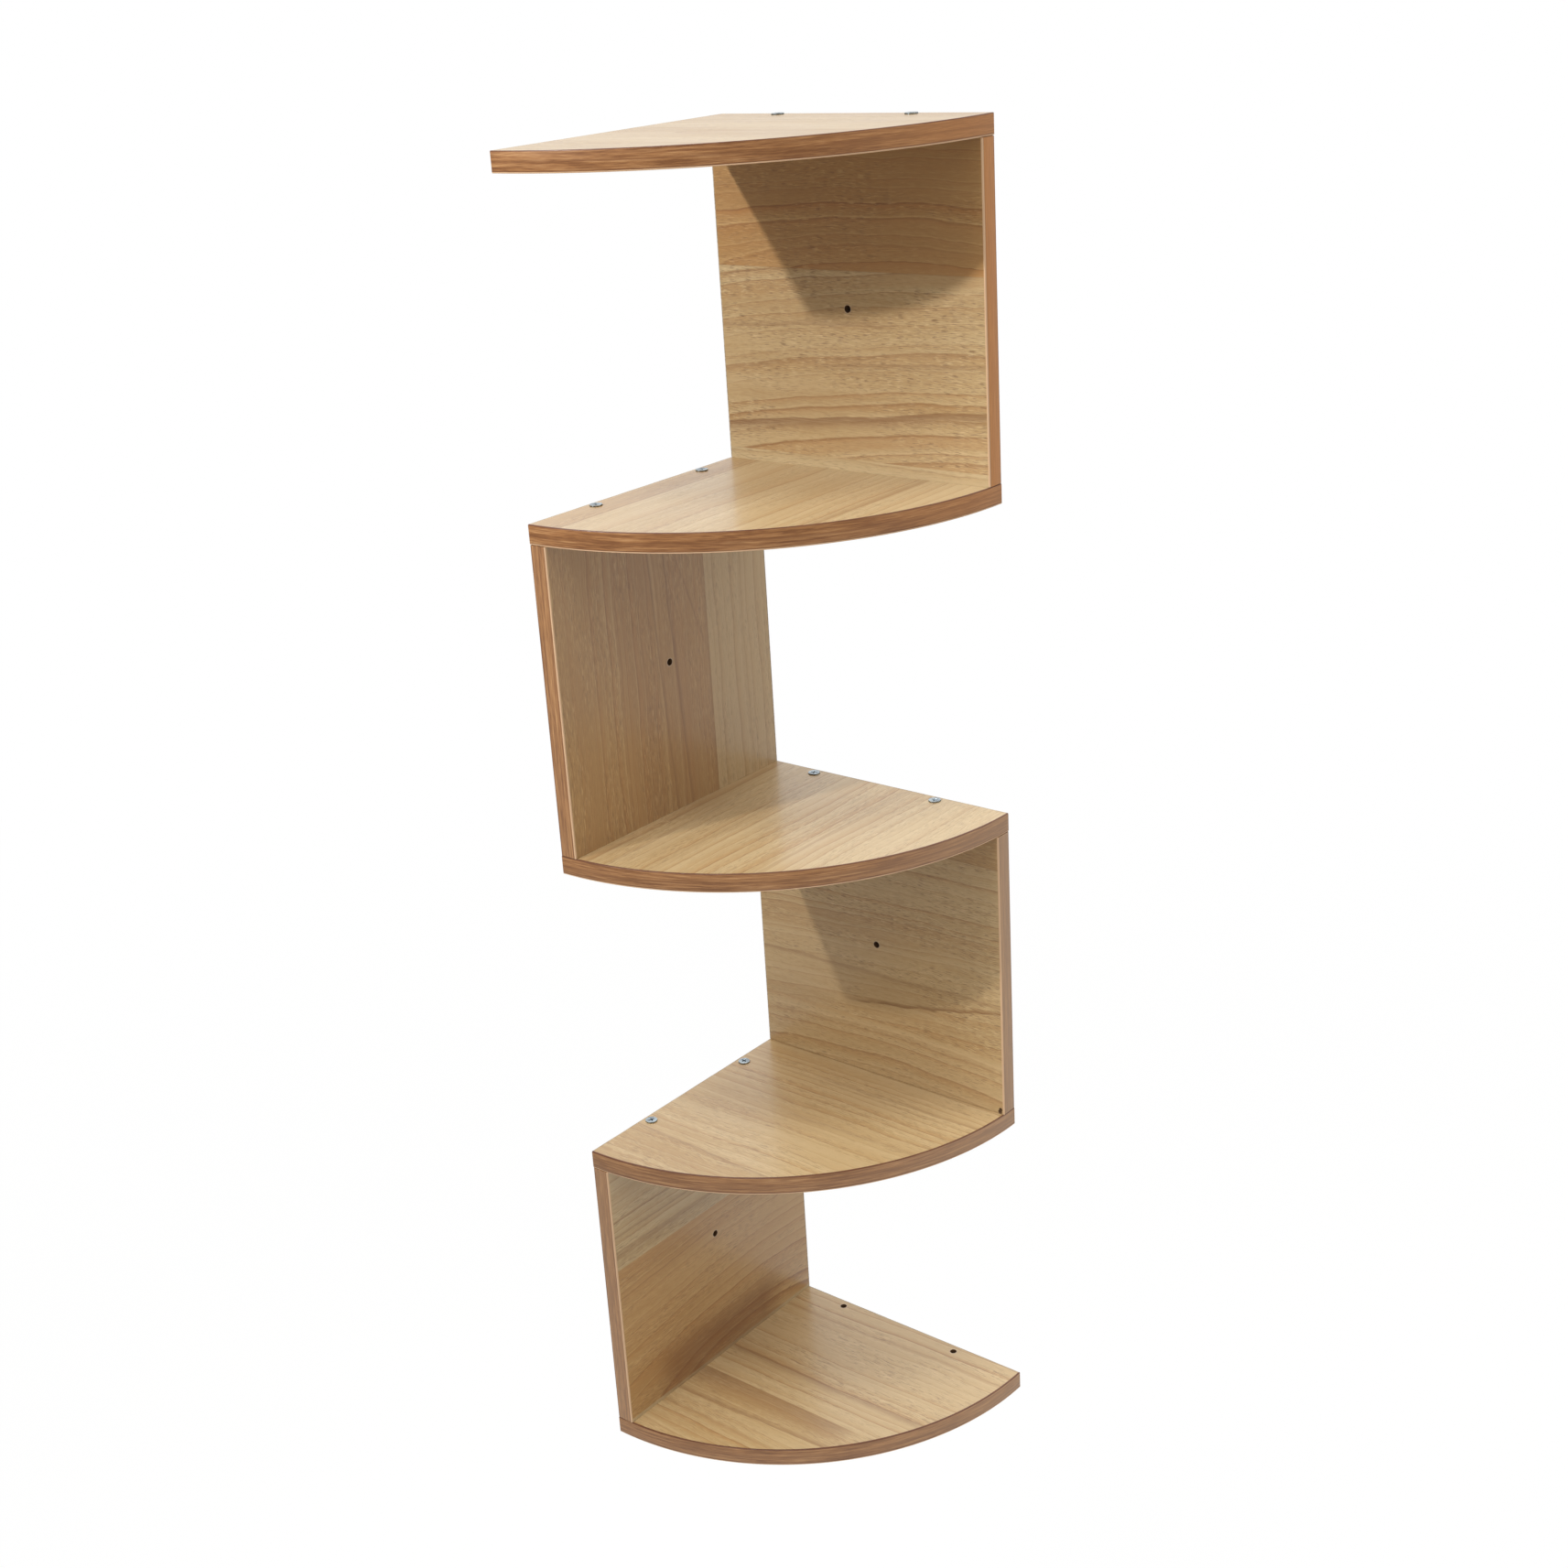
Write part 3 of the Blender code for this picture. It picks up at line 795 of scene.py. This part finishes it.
def build_drilled():
    """Takes the holes that a host mesh's points describe out of a blank."""
    takes = {"Blank": "Geometry", "Holes": "Geometry", "Core": "Material"}
    tree, takes, exits = new_tree("drilled", takes)
    axis = point_value(tree, "axis", "FLOAT_VECTOR")
    mouth, radius = point_value(tree, "mouth"), point_value(tree, "bore")
    bore = add(tree, "MeshCone", (HOLE_SIDES, 1, 1, 1.0, 1.0, 1.0))
    cone = add(tree, "MeshCone", (HOLE_SIDES, 1, 1, 0.0, 1.0, 1.0))
    starts = add(tree, "SetPosition", Geometry=takes["Holes"], Offset=scaled(axis, -OVERRUN))
    depth = plus(point_value(tree, "depth"), OVERRUN)
    bores = add(tree, "InstanceOnPoints", Points=starts, Instance=bore, Rotation=standing(axis),
                Scale=joined(radius, radius, depth))
    wide = plus(mouth, OVERRUN)
    sinks = add(tree, "InstanceOnPoints", Points=starts, Selection=maths("GREATER_THAN", mouth, 0.0),
                Instance=cone, Rotation=standing(axis), Scale=joined(wide, wide, wide))
    cutters = coated(realized(together(bores, sinks)), takes["Core"])
    return give(exits, Geometry=cut_away(takes["Blank"], cutters))


DRILLED = build_drilled()

# %% [markdown]
# Where the holes are follows one rule, so a loop lists them: upright by upright, two screws come down
# through the shelf above and two come up through the shelf below, 48 and 144 mm from the corner and
# 6 mm from the wall. Uprights 1 and 3 stand on the right wall. The lowest shelf has two spare holes,
# and two small dents make the chip at the front foot of the third upright.

# %% Where every hole is
SCREW_INSETS = (0.048, 0.144)
WALL_TO_SCREWS = 0.006
SHANK_BORE = 0.00225
SCREW_MOUTH = 0.00397  # countersink's radius in the face
PILOT_DEPTH = 0.0352
WALL_HOLE_INSET = 0.0975
BOARD_THICKNESS = 0.012
CHIPS = ((0.1919, 0.2206, 0.0015), (0.1924, 0.2223, 0.0013))  # along the wall, height, radius
TURN_STEP = math.radians(37)  # from one screw's cross to the next one's


def host_points(name, rows, *labels):
    """A host mesh with one point for each row: its place, and then its value for each label."""
    mesh = bpy.data.meshes.new(name)
    mesh.from_pydata([row[0] for row in rows], [], [])
    for column, label in enumerate(labels, 1):
        kind, field = ("FLOAT_VECTOR", "vector") if label == "axis" else ("FLOAT", "value")
        values = mesh.attributes.new(label, kind, "POINT").data
        for point, row in zip(values, rows):
            setattr(point, field, row[column])
    return mesh


def by_wall(number, inset, out, height):
    """A place at a distance from the corner along the wall of an upright, and at one out from it."""
    return (inset, -out, height) if number % 2 else (out, -inset, height)


def top_of(number):
    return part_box(f"shelf_{number}_board")[1].z


holes = {f"shelf_{n}": [] for n in SHELVES} | {f"upright_{n}": [] for n in UPRIGHTS}
SCREWS = []  # place, axis, turn, CAD node
for number in UPRIGHTS:
    for inset, label in zip(SCREW_INSETS, ("inner", "outer")):
        for way, shelf, axis in (("down", number, DOWN), ("up", number + 1, UP)):
            height = top_of(shelf) - (0 if way == "down" else BOARD_THICKNESS)
            spot = by_wall(number, inset, WALL_TO_SCREWS, height)
            hole = (spot, axis, SHANK_BORE, PILOT_DEPTH, SCREW_MOUTH)
            holes[f"shelf_{shelf}"].append(hole)
            holes[f"upright_{number}"].append((*hole[:4], 0.0))
            SCREWS.append((spot, axis, len(SCREWS) * TURN_STEP, f"screw_{way}_{number}_{label}"))
    low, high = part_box(f"upright_{number}_board")
    middle = by_wall(number, WALL_HOLE_INSET, BOARD_THICKNESS, (low.z + high.z) / 2)
    inward = (0, 1, 0) if number % 2 else (-1, 0, 0)
    holes[f"upright_{number}"].append((middle, inward, SHANK_BORE, 2 * BOARD_THICKNESS, 0.0))
for inset in SCREW_INSETS:
    spot = by_wall(SHELVES[-1], inset, WALL_TO_SCREWS, top_of(5))
    holes["shelf_5"].append((spot, DOWN, SHANK_BORE, 2 * BOARD_THICKNESS, 0.0))
for inset, height, size in CHIPS:
    holes["upright_3"].append(((inset, -BOARD_THICKNESS, height), (0, 1, 0), size / 3, size, size))
print({name: len(each) for name, each in holes.items()})

# %% [markdown]
# ## The shelves
# A shelf is a quarter round, which is a shape with a rule: an arc about the wall corner, closed
# through the corner itself. So one tree makes all five. It fills the closed arc, pulls the face up by
# the board's thickness, puts the underside back and drills it. The straight edges stay a hair off the
# walls, where the wall-side band sits.

# %% The quarter-round tree
SHELF_FACETS = 97
MERGED = 1e-6  # points this near become one
BOARD_TAKES = {"Holes": "Geometry", "Skin": "Material", "Core": "Material"}


def finish_board(exits, takes, blank):
    """Gives a blank its skin and drills it, which completes the tree of a board."""
    board = add(tree_of(blank), "Group", node_tree=DRILLED, Blank=coated(blank, takes["Skin"]),
                Holes=takes["Holes"], Core=takes["Core"])
    return give(exits, Geometry=realized(smoothed(board)))


def build_quarter_round():
    """A quarter-round board about the wall corner, from a height upwards."""
    tree, takes, exits = new_tree("quarter_round", BOARD_TAKES | {
        "Radius": 0.1937, "Wall Gap": 0.0009, "Low": 0.0, "Thickness": 0.012, "Facets": SHELF_FACETS})
    gap = takes["Wall Gap"]
    slip = maths("ARCSINE", maths("DIVIDE", gap, takes["Radius"]))
    arc = add(tree, "CurveArc", Resolution=takes["Facets"], Radius=takes["Radius"],
              Start_Angle=plus(slip, -math.pi / 2), Sweep_Angle=times_plus(slip, -2.0, math.pi / 2),
              Connect_Center=True, mode="RADIUS")
    is_corner = maths("LESS_THAN", length(add(tree, "InputPosition")), gap)
    outline = add(tree, "SetPosition", Geometry=arc, Selection=is_corner,
                  Offset=joined(gap, times(gap, -1.0), 0.0))
    face = add(tree, "FillCurve", Curve=outline, mode="NGONS")
    walls = add(tree, "ExtrudeMesh", Mesh=face, Offset=joined(0.0, 0.0, takes["Thickness"]),
                Offset_Scale=1.0, Individual=False, mode="FACES")
    both = together(walls, add(tree, "FlipFaces", Mesh=face))
    closed = add(tree, "MergeByDistance", Geometry=both, Distance=MERGED)
    return finish_board(exits, takes, raised(closed, takes["Low"]))


QUARTER_ROUND = build_quarter_round()

# %% [markdown]
# The CAD boxes give each shelf its radius, wall gap, height and thickness. Real joints are tight, so
# the dressed board also fills most of the clearance that the CAD solids keep.

# %% Five shelves
FIT_GAP = 0.0003  # the CAD solids stand this far apart,
SNUG = 0.00028  # and the boards reach this far into that gap
SHELF_ARRIS = 0.00025
HOLE_LABELS = ("axis", "bore", "depth", "mouth")
SPARE_RIMS = [(hole[0], (1, 1, 0)) for hole in holes["shelf_5"][-2:]]

for number in SHELVES:
    name, node = f"shelf_{number}", f"shelf_{number}_board"
    low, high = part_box(node)
    skin = laminate(node, name, seed=number, holes=SPARE_RIMS if number == 5 else ())
    values = {"Radius": math.hypot(high.x, low.x) + SNUG, "Wall Gap": low.x - SNUG, "Low": low.z,
              "Thickness": high.z - low.z, "Skin": skin, "Core": CORE}
    host = host_points(f"{name}_holes", holes[name], *HOLE_LABELS)
    mount(grown(f"laminated_{name}", QUARTER_ROUND, values, host, SHELF_ARRIS), "laminate", node)

# %% [markdown]
# ## The uprights
# An upright is a plain square panel, so its tree is short: a cuboid between two corners, drilled. The
# hole in the middle takes the wall screw, and the four pilot holes in its ends take the wood screws.

# %% The panel tree and four uprights
UPRIGHT_ARRIS = 0.0001
OPEN_JOINT = 3  # this upright doesn't quite touch its shelves, and the joint shows as a dark line
WALL_HOLE = 4  # its place in an upright's list of holes, after the four pilot holes


def build_panel():
    """A drilled panel between two corners."""
    tree, takes, exits = new_tree("panel", BOARD_TAKES | {"Low": (0, 0, 0), "High": (1, 1, 1)})
    size = vector_maths("SUBTRACT", takes["High"], takes["Low"])
    middle = scaled(vector_maths("ADD", takes["High"], takes["Low"]), 0.5)
    cuboid = add(tree, "MeshCube", Size=size)
    placed = add(tree, "Transform", Geometry=cuboid, Translation=middle)
    return finish_board(exits, takes, placed)


PANEL = build_panel()
for number in UPRIGHTS:
    name, node = f"upright_{number}", f"upright_{number}_board"
    low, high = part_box(node)
    rim = (holes[name][WALL_HOLE][0], (1, 0, 1) if number % 2 else (0, 1, 1))
    skin = laminate(node, name, seed=10 + number, holes=[rim])
    grow = Vector((SNUG, 0, 0) if number % 2 else (0, SNUG, 0))
    if number != OPEN_JOINT:
        grow.z = SNUG
    values = {"Low": low - grow, "High": high + grow, "Skin": skin, "Core": CORE}
    host = host_points(f"{name}_holes", holes[name], *HOLE_LABELS)
    mount(grown(f"laminated_{name}", PANEL, values, host, UPRIGHT_ARRIS), "laminate", node)

# %% [markdown]
# ## The front bands
# The round front of a shelf and the front edge of an upright carry a printed plastic band, 1 mm
# thick. Its long edges are trimmed round. The band is a section swept along a path, so the tree draws
# the section, rounds its outer corners and sweeps it along an arc or a straight line. Each point
# remembers how far along the band it is and where on the section, and the material reads that, so
# the streaks follow the curve.

# %% The band tree
BAND_ROUNDING = 0.0005
BAND_PATH_STEPS = 97
ROUNDING_STEPS = 4
INNER_ROUNDING = 0.00002  # hardly any, where the band lies on the board


def build_band():
    """A band with rounded outer edges, swept along a quarter arc or along a straight line."""
    tree, takes, exits = new_tree("edge_band", {
        "Is Round": True, "Radius": 0.1945, "Start": (0, 0, 0), "End": (0, 0, 1), "Outward": (1, 0, 0),
        "Height": 0.0, "Thickness": 0.001, "Width": 0.012, "Rounding": BAND_ROUNDING,
        "Finish": "Material"})
    is_round = takes["Is Round"]
    arc = add(tree, "CurveArc", Resolution=BAND_PATH_STEPS, Radius=takes["Radius"],
              Start_Angle=-math.pi / 2, Sweep_Angle=math.pi / 2, Connect_Center=False, mode="RADIUS")
    straight = add(tree, "CurvePrimitiveLine", Start=takes["Start"], End=takes["End"])
    path = add(tree, "Switch", (is_round, straight, raised(arc, takes["Height"])),
               input_type="GEOMETRY")
    from_corner = vector_maths("NORMALIZE", vector_maths("MULTIPLY", add(tree, "InputPosition"),
                                                         (1, 1, 0)))
    outward = add(tree, "Switch", (is_round, takes["Outward"], from_corner), input_type="VECTOR")
    facing = add(tree, "SetCurveNormal", Curve=path, Normal=outward, mode="FREE")
    rail, run = captured(facing, "FLOAT", add(tree, "SplineParameter").outputs["Length"])

    section = add(tree, "CurvePrimitiveQuadrilateral", (takes["Thickness"], takes["Width"]))
    is_outer = maths("GREATER_THAN", part(add(tree, "InputPosition"), "X"), 0.0)
    radius = times_plus(is_outer, takes["Rounding"], INNER_ROUNDING)
    rounded = add(tree, "FilletCurve", Curve=section, Count=ROUNDING_STEPS, Radius=radius, mode="POLY")
    profile, spot = captured(rounded, "VECTOR", add(tree, "InputPosition"))

    swept = add(tree, "CurveToMesh", Curve=rail, Profile_Curve=profile, Fill_Caps=True)
    place = joined(run, part(spot, "Y"), part(spot, "X"))
    smooth = smoothed(noted(swept, "band_run", place))
    return give(exits, Geometry=coated(realized(smooth), takes["Finish"]))


BAND = build_band()

# %% [markdown]
# The band's print is a redder wood than the board's, in fine streaks along the band. Near each long
# edge the print ends in a thin dark line, and where the edge was trimmed past the print, the plastic
# is pale; that pale edge is also a painted highlight on the rounding. On a shelf that is the lower
# edge, and on an upright the edge on the inside of the bay. The band is also painted paler: on the
# shelves more and more towards the right wall, as painted light from that side, and on an upright
# evenly, which on the two uprights whose bands face right is painted light as well.

# %% Band material
STREAK_DARK, STREAK, STREAK_PALE = rgb(126, 82, 48), rgb(159, 110, 66), rgb(184, 137, 90)
PALE_TRIM_AND_HIGHLIGHT, PRINT_END = rgb(214, 176, 138), rgb(96, 50, 26)
ORANGE, PALER_BAND = rgb(214, 142, 70), rgb(196, 164, 132)
BAND_IOR = 1.6
# Over this span the painted light from the right wall rises along a shelf band.
BAND_LIGHT_SPAN = (0.15, 0.31)  # along the band
# Each trim: the share and the width of pale bare plastic, which is also a painted highlight on the
# rounded edge, and the share of the dark line beside it.
TOP_TRIM, UNDER_TRIM = (0.0, 0.0, 0.9), (1.0, 0.0009, 0.5)
INNER_TRIM, OUTER_TRIM = (1.0, 0.0011, 0.3), (0.1, 0.0003, 0.6)
# Each paling: its share at the start and at the end of the band, and the colour it goes to. On a
# shelf it rises towards the right end, painted light from the right wall; on an upright it is even.
SHELF_PAINTED_LIGHT = {1: (0.0, 0.4, ORANGE), 2: (0.0, 0.3, ORANGE), 3: (0.05, 0.35, PALER_BAND),
               4: (0.1, 0.4, PALER_BAND), 5: (0.1, 0.35, PALER_BAND)}
UPRIGHT_PALING = {1: (0.6, 0.6, ORANGE), 2: (0.1, 0.1, PALER_BAND), 3: (0.5, 0.5, PALER_BAND),
                 4: (0.25, 0.25, PALER_BAND)}
SHELF_HEART, UPRIGHT_HEART = 0.5, 0.0  # strength of a dark streak down the middle


def banded(name, seed, half_width, trims, heart, paling):
    """The printed band: streaks on its face, a dark line and pale plastic at its long edges, and a
    paling.

    The pale edge is also a painted highlight, and the paling is partly painted light.
    """
    material, tree = new_material(f"{name}_band_print")
    run = add(tree, "Attribute", attribute_name="band_run").outputs["Vector"]
    shifted = vector_maths("ADD", run, (0, 0, seed * 0.71))
    streaks = noise(shifted, (26, 760, 1), detail=3, roughness=0.6)
    share = times_plus(noise(shifted, (130, 2300, 3)), 0.4, times(streaks, 0.75))
    level = maths("ABSOLUTE", wander(shifted, (12, 300, 7)))
    height = part(run, "Y")
    from_heart = maths("ABSOLUTE", times_plus(wander(shifted, (9, 1, 3)), 0.003, height))
    start, end, paling_colour = paling

    wobble = times(noise(shifted, (90, 1, 5)), 0.0003)
    from_edge = plus(minus(half_width, maths("ABSOLUTE", height)), wobble)
    is_high = maths("GREATER_THAN", height, 0.0)
    pale_trim_share, pale_trim_width, dark_share = [chosen(is_high, low, high) for low, high in zip(*trims)]
    beyond = minus(from_edge, pale_trim_width)
    bare_and_highlight = times(faded(beyond, -0.0001, 0.0002), pale_trim_share)
    # Painted light pales the band in the layer before the dark line, and the pale bare edge is also a
    # painted highlight.
    base = layered(STREAK_DARK, (ramped(share, 0.46, 0.60), STREAK),
                   (ramped(share, 0.58, 0.76), STREAK_PALE),
                   (ramped(level, 0.0, 0.04, 0.5, 0.0), STREAK_DARK),
                   (ramped(from_heart, 0.0001, 0.0012, heart, 0.0), STREAK_DARK),
                   (ramped(part(run, "X"), *BAND_LIGHT_SPAN, start, end), paling_colour),
                   (times(faded(beyond, 0.0003, 0.0010), dark_share), PRINT_END), (bare_and_highlight, PALE_TRIM_AND_HIGHLIGHT))
    gloss = times_plus(bare_and_highlight, 0.2, ramped(streaks, 0.3, 0.7, 0.32, 0.42))
    shaded(tree, base, gloss, share, 0.15, IOR=BAND_IOR)
    return material


for number in SHELVES:
    name, node = f"shelf_{number}", f"shelf_{number}_front_band"
    low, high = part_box(node)
    thickness = high.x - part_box(f"{name}_board")[1].x - FIT_GAP
    finish = banded(name, number, (high.z - low.z) / 2, (TOP_TRIM, UNDER_TRIM), SHELF_HEART,
                    SHELF_PAINTED_LIGHT[number])
    values = {"Is Round": True, "Radius": high.x - thickness / 2, "Height": (low.z + high.z) / 2,
              "Thickness": thickness, "Width": high.z - low.z, "Finish": finish}
    mount(grown(f"{name}_round_band", BAND, values), "front_band", node)

for number in UPRIGHTS:
    name, node = f"upright_{number}", f"upright_{number}_front_band"
    low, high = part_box(node)
    middle, size = (low + high) / 2, high - low
    thickness, width = (size.x, size.y) if number % 2 else (size.y, size.x)
    trims = (INNER_TRIM, OUTER_TRIM) if number % 2 else (OUTER_TRIM, INNER_TRIM)
    finish = banded(name, 20 + number, width / 2, trims, UPRIGHT_HEART, UPRIGHT_PALING[number])
    values = {"Is Round": False, "Start": (middle.x, middle.y, low.z),
              "End": (middle.x, middle.y, high.z), "Outward": RIGHT if number % 2 else LEFT,
              "Thickness": thickness, "Width": width, "Finish": finish}
    mount(grown(f"{name}_edge_band", BAND, values), "front_band", node)

# %% [markdown]
# ## The wall-side bands
# The straight edges by the walls carry a thinner, greyer band. They are plain strips, and the CAD
# nodes already have that shape, so they stay and only get a better material on Object coordinates.

# %% Wall-side bands
WALL_GREY, WALL_BROWN = rgb(188, 174, 154), rgb(156, 136, 108)


def wall_band():
    """A thin greyish band with faint streaks."""
    material, tree = new_material("wall_band")
    streaks = noise(own_place(tree), (40, 40, 900), detail=3, roughness=0.6)
    base = blended(ramped(streaks, 0.35, 0.65), WALL_GREY, WALL_BROWN)
    shaded(tree, base, ramped(streaks, 0.3, 0.7, 0.38, 0.5), streaks, 0.1)
    return material


WALL_BAND = wall_band()
strips = [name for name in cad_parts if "wall_band" in name or "rear_band" in name]
for name in strips:
    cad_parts[name].data.materials.clear()
    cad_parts[name].data.materials.append(WALL_BAND)
print(f"{len(strips)} wall-side bands keep their CAD shape")

# %% [markdown]
# ## The screws
# Sixteen equal wood screws hold the uprights. A screw is a stack of frustums: rim, countersunk cone,
# plain shank, core and point. A thread is a small triangle swept along a helix, and the recess is a
# tapered cross taken out with a Boolean. The tree builds one screw and instances it on sixteen
# points, each with its own axis and turn. Most of it stays hidden in the wood, but the part is whole
# when a shelf is taken off.

# %% The screw tree
SCREW_SIDES = 32
NECK = 0.0006  # length over which the shank narrows to the core
RECESS_MOUTH = 0.0004  # how far the cutter of the recess stands above the head
WEDGE_TOP, WEDGE_FOOT = 1.42, 0.55  # its corner radii, where root 2 spans the arm and the slot
THREAD_STEPS = 14  # in one turn
THREAD_START = 0.16  # share of the helix over which the thread grows at the point


def build_screws():
    """Countersunk cross-recessed wood screws on the points of a host mesh."""
    tree, takes, exits = new_tree("wood_screws", {
        "Points": "Geometry", "Head Radius": 0.00385, "Head Rim": 0.0005, "Head Proud": 0.0008,
        "Shank Radius": 0.0016, "Core Radius": 0.00125, "Thread Radius": 0.0019, "Length": 0.035,
        "Shank Length": 0.009, "Point Length": 0.004, "Thread Pitch": 0.0018, "Recess Arm": 0.0022,
        "Recess Slot": 0.00055, "Recess Depth": 0.0019, "Zinc": "Material"})
    proud, head, shank = takes["Head Proud"], takes["Head Radius"], takes["Shank Radius"]
    core, rim = takes["Core Radius"], takes["Head Rim"]

    def frustum(top, bottom, depth, foot, fill="NONE"):
        """A frustum of the stack that stands on a height."""
        solid = add(tree, "MeshCone", Vertices=SCREW_SIDES, Radius_Top=top, Radius_Bottom=bottom,
                    Depth=depth, fill_type=fill)
        return raised(solid, foot)

    tip = minus(proud, takes["Length"])
    rim_foot = minus(proud, rim)
    cone_depth = minus(head, shank)
    cone_foot = minus(rim_foot, cone_depth)
    shank_foot = minus(cone_foot, takes["Shank Length"])
    core_top = minus(shank_foot, NECK)
    point_top = plus(tip, takes["Point Length"])
    stack = together(
        frustum(head, head, rim, rim_foot, "NGON"),
        frustum(head, shank, cone_depth, cone_foot),
        frustum(shank, shank, takes["Shank Length"], shank_foot),
        frustum(shank, core, NECK, core_top),
        frustum(core, core, minus(core_top, point_top), point_top),
        frustum(core, 0.0, takes["Point Length"], tip))
    faces_down = maths("LESS_THAN", part(add(tree, "InputNormal"), "Z"), -0.9)
    is_above = maths("GREATER_THAN", part(add(tree, "InputPosition"), "Z"), cone_foot)
    hidden = times(faces_down, is_above)  # the rim's underside, inside the head
    stack = add(tree, "DeleteGeometry", Geometry=stack, Selection=hidden, domain="FACE")
    blank = add(tree, "MergeByDistance", Geometry=stack, Distance=2 * MERGED)

    wedge = add(tree, "MeshCone", Vertices=4, Radius_Top=WEDGE_TOP, Radius_Bottom=WEDGE_FOOT,
                Depth=1.0)
    squared = add(tree, "Transform", Geometry=wedge, Rotation=(0, 0, math.pi / 4))
    size = joined(takes["Recess Arm"], takes["Recess Slot"], plus(takes["Recess Depth"], RECESS_MOUTH))
    foot = joined(0.0, 0.0, minus(proud, takes["Recess Depth"]))
    arms = [add(tree, "Transform", Geometry=squared, Scale=size, Rotation=(0, 0, turn),
                Translation=foot) for turn in (0.0, math.pi / 2)]
    headed = cut_away(blank, together(*arms))

    span = minus(core_top, tip)
    helix = add(tree, "CurveSpiral", Resolution=THREAD_STEPS,
                Rotations=maths("DIVIDE", span, takes["Thread Pitch"]), Start_Radius=core,
                End_Radius=core, Height=span)
    ridge = add(tree, "CurvePrimitiveCircle", Resolution=3,
                Radius=minus(takes["Thread Radius"], core), mode="RADIUS")
    factor = add(tree, "SplineParameter").outputs["Factor"]
    slim = ramped(factor, 0.0, THREAD_START, 0.25, 1.0)
    drawn_in = vector_maths("MULTIPLY", add(tree, "InputPosition"), joined(slim, slim, 1.0))
    helix = add(tree, "SetPosition", Geometry=helix, Position=drawn_in)
    thread = add(tree, "CurveToMesh", Curve=helix, Profile_Curve=ridge, Scale=slim, Fill_Caps=True)
    whole = noted(together(headed, raised(thread, tip)), "on_screw", add(tree, "InputPosition"))
    outward = scaled(point_value(tree, "axis", "FLOAT_VECTOR"), -1.0)
    driven = add(tree, "InstanceOnPoints", Points=takes["Points"], Instance=whole,
                 Rotation=standing(outward, point_value(tree, "turn")))
    return give(exits, Geometry=coated(realized(driven), takes["Zinc"]))


WOOD_SCREWS = build_screws()

# %% [markdown]
# Bright zinc is a bluish metal with a satin shine. The head was turned on a lathe, so faint rings run
# round its axis, and the recess is painted darker, a painted shade. Both read where a point lies on
# its own screw, which the tree stored before it spread the screws out.

# %% Zinc material and the sixteen screws
ZINC, ZINC_DULL, RECESS_SHADE = rgb(196, 208, 214), rgb(150, 160, 168), rgb(44, 50, 56)


def zinc():
    """Zinc-plated steel."""
    material, tree = new_material("zinc_plate")
    place = add(tree, "Attribute", attribute_name="on_screw").outputs["Vector"]
    radius = length(vector_maths("MULTIPLY", place, (1, 1, 0)))
    rings = noise(joined(radius, 0.0, 0.0), (9000, 1, 1))
    cloud = noise(place, (500, 500, 500), detail=3)
    in_recess = times(faded(part(place, "Z"), -0.0002, 0.0004), faded(radius, 0.0021, 0.0023))
    # The recess is darkened with a painted shade.
    base = layered(ZINC, (ramped(cloud, 0.35, 0.7), ZINC_DULL), (times(in_recess, 0.75), RECESS_SHADE))
    gloss = times_plus(rings, 0.12, ramped(cloud, 0.3, 0.7, 0.20, 0.32))
    shaded(tree, base, gloss, rings, 0.2, 0.00003, Metallic=1.0)
    return material


points = host_points("screw_points", SCREWS, "axis", "turn")
screws = grown("countersunk_screws", WOOD_SCREWS, {"Zinc": zinc()}, points)
mount(screws, "zinc_plated_steel", *[row[-1] for row in SCREWS])
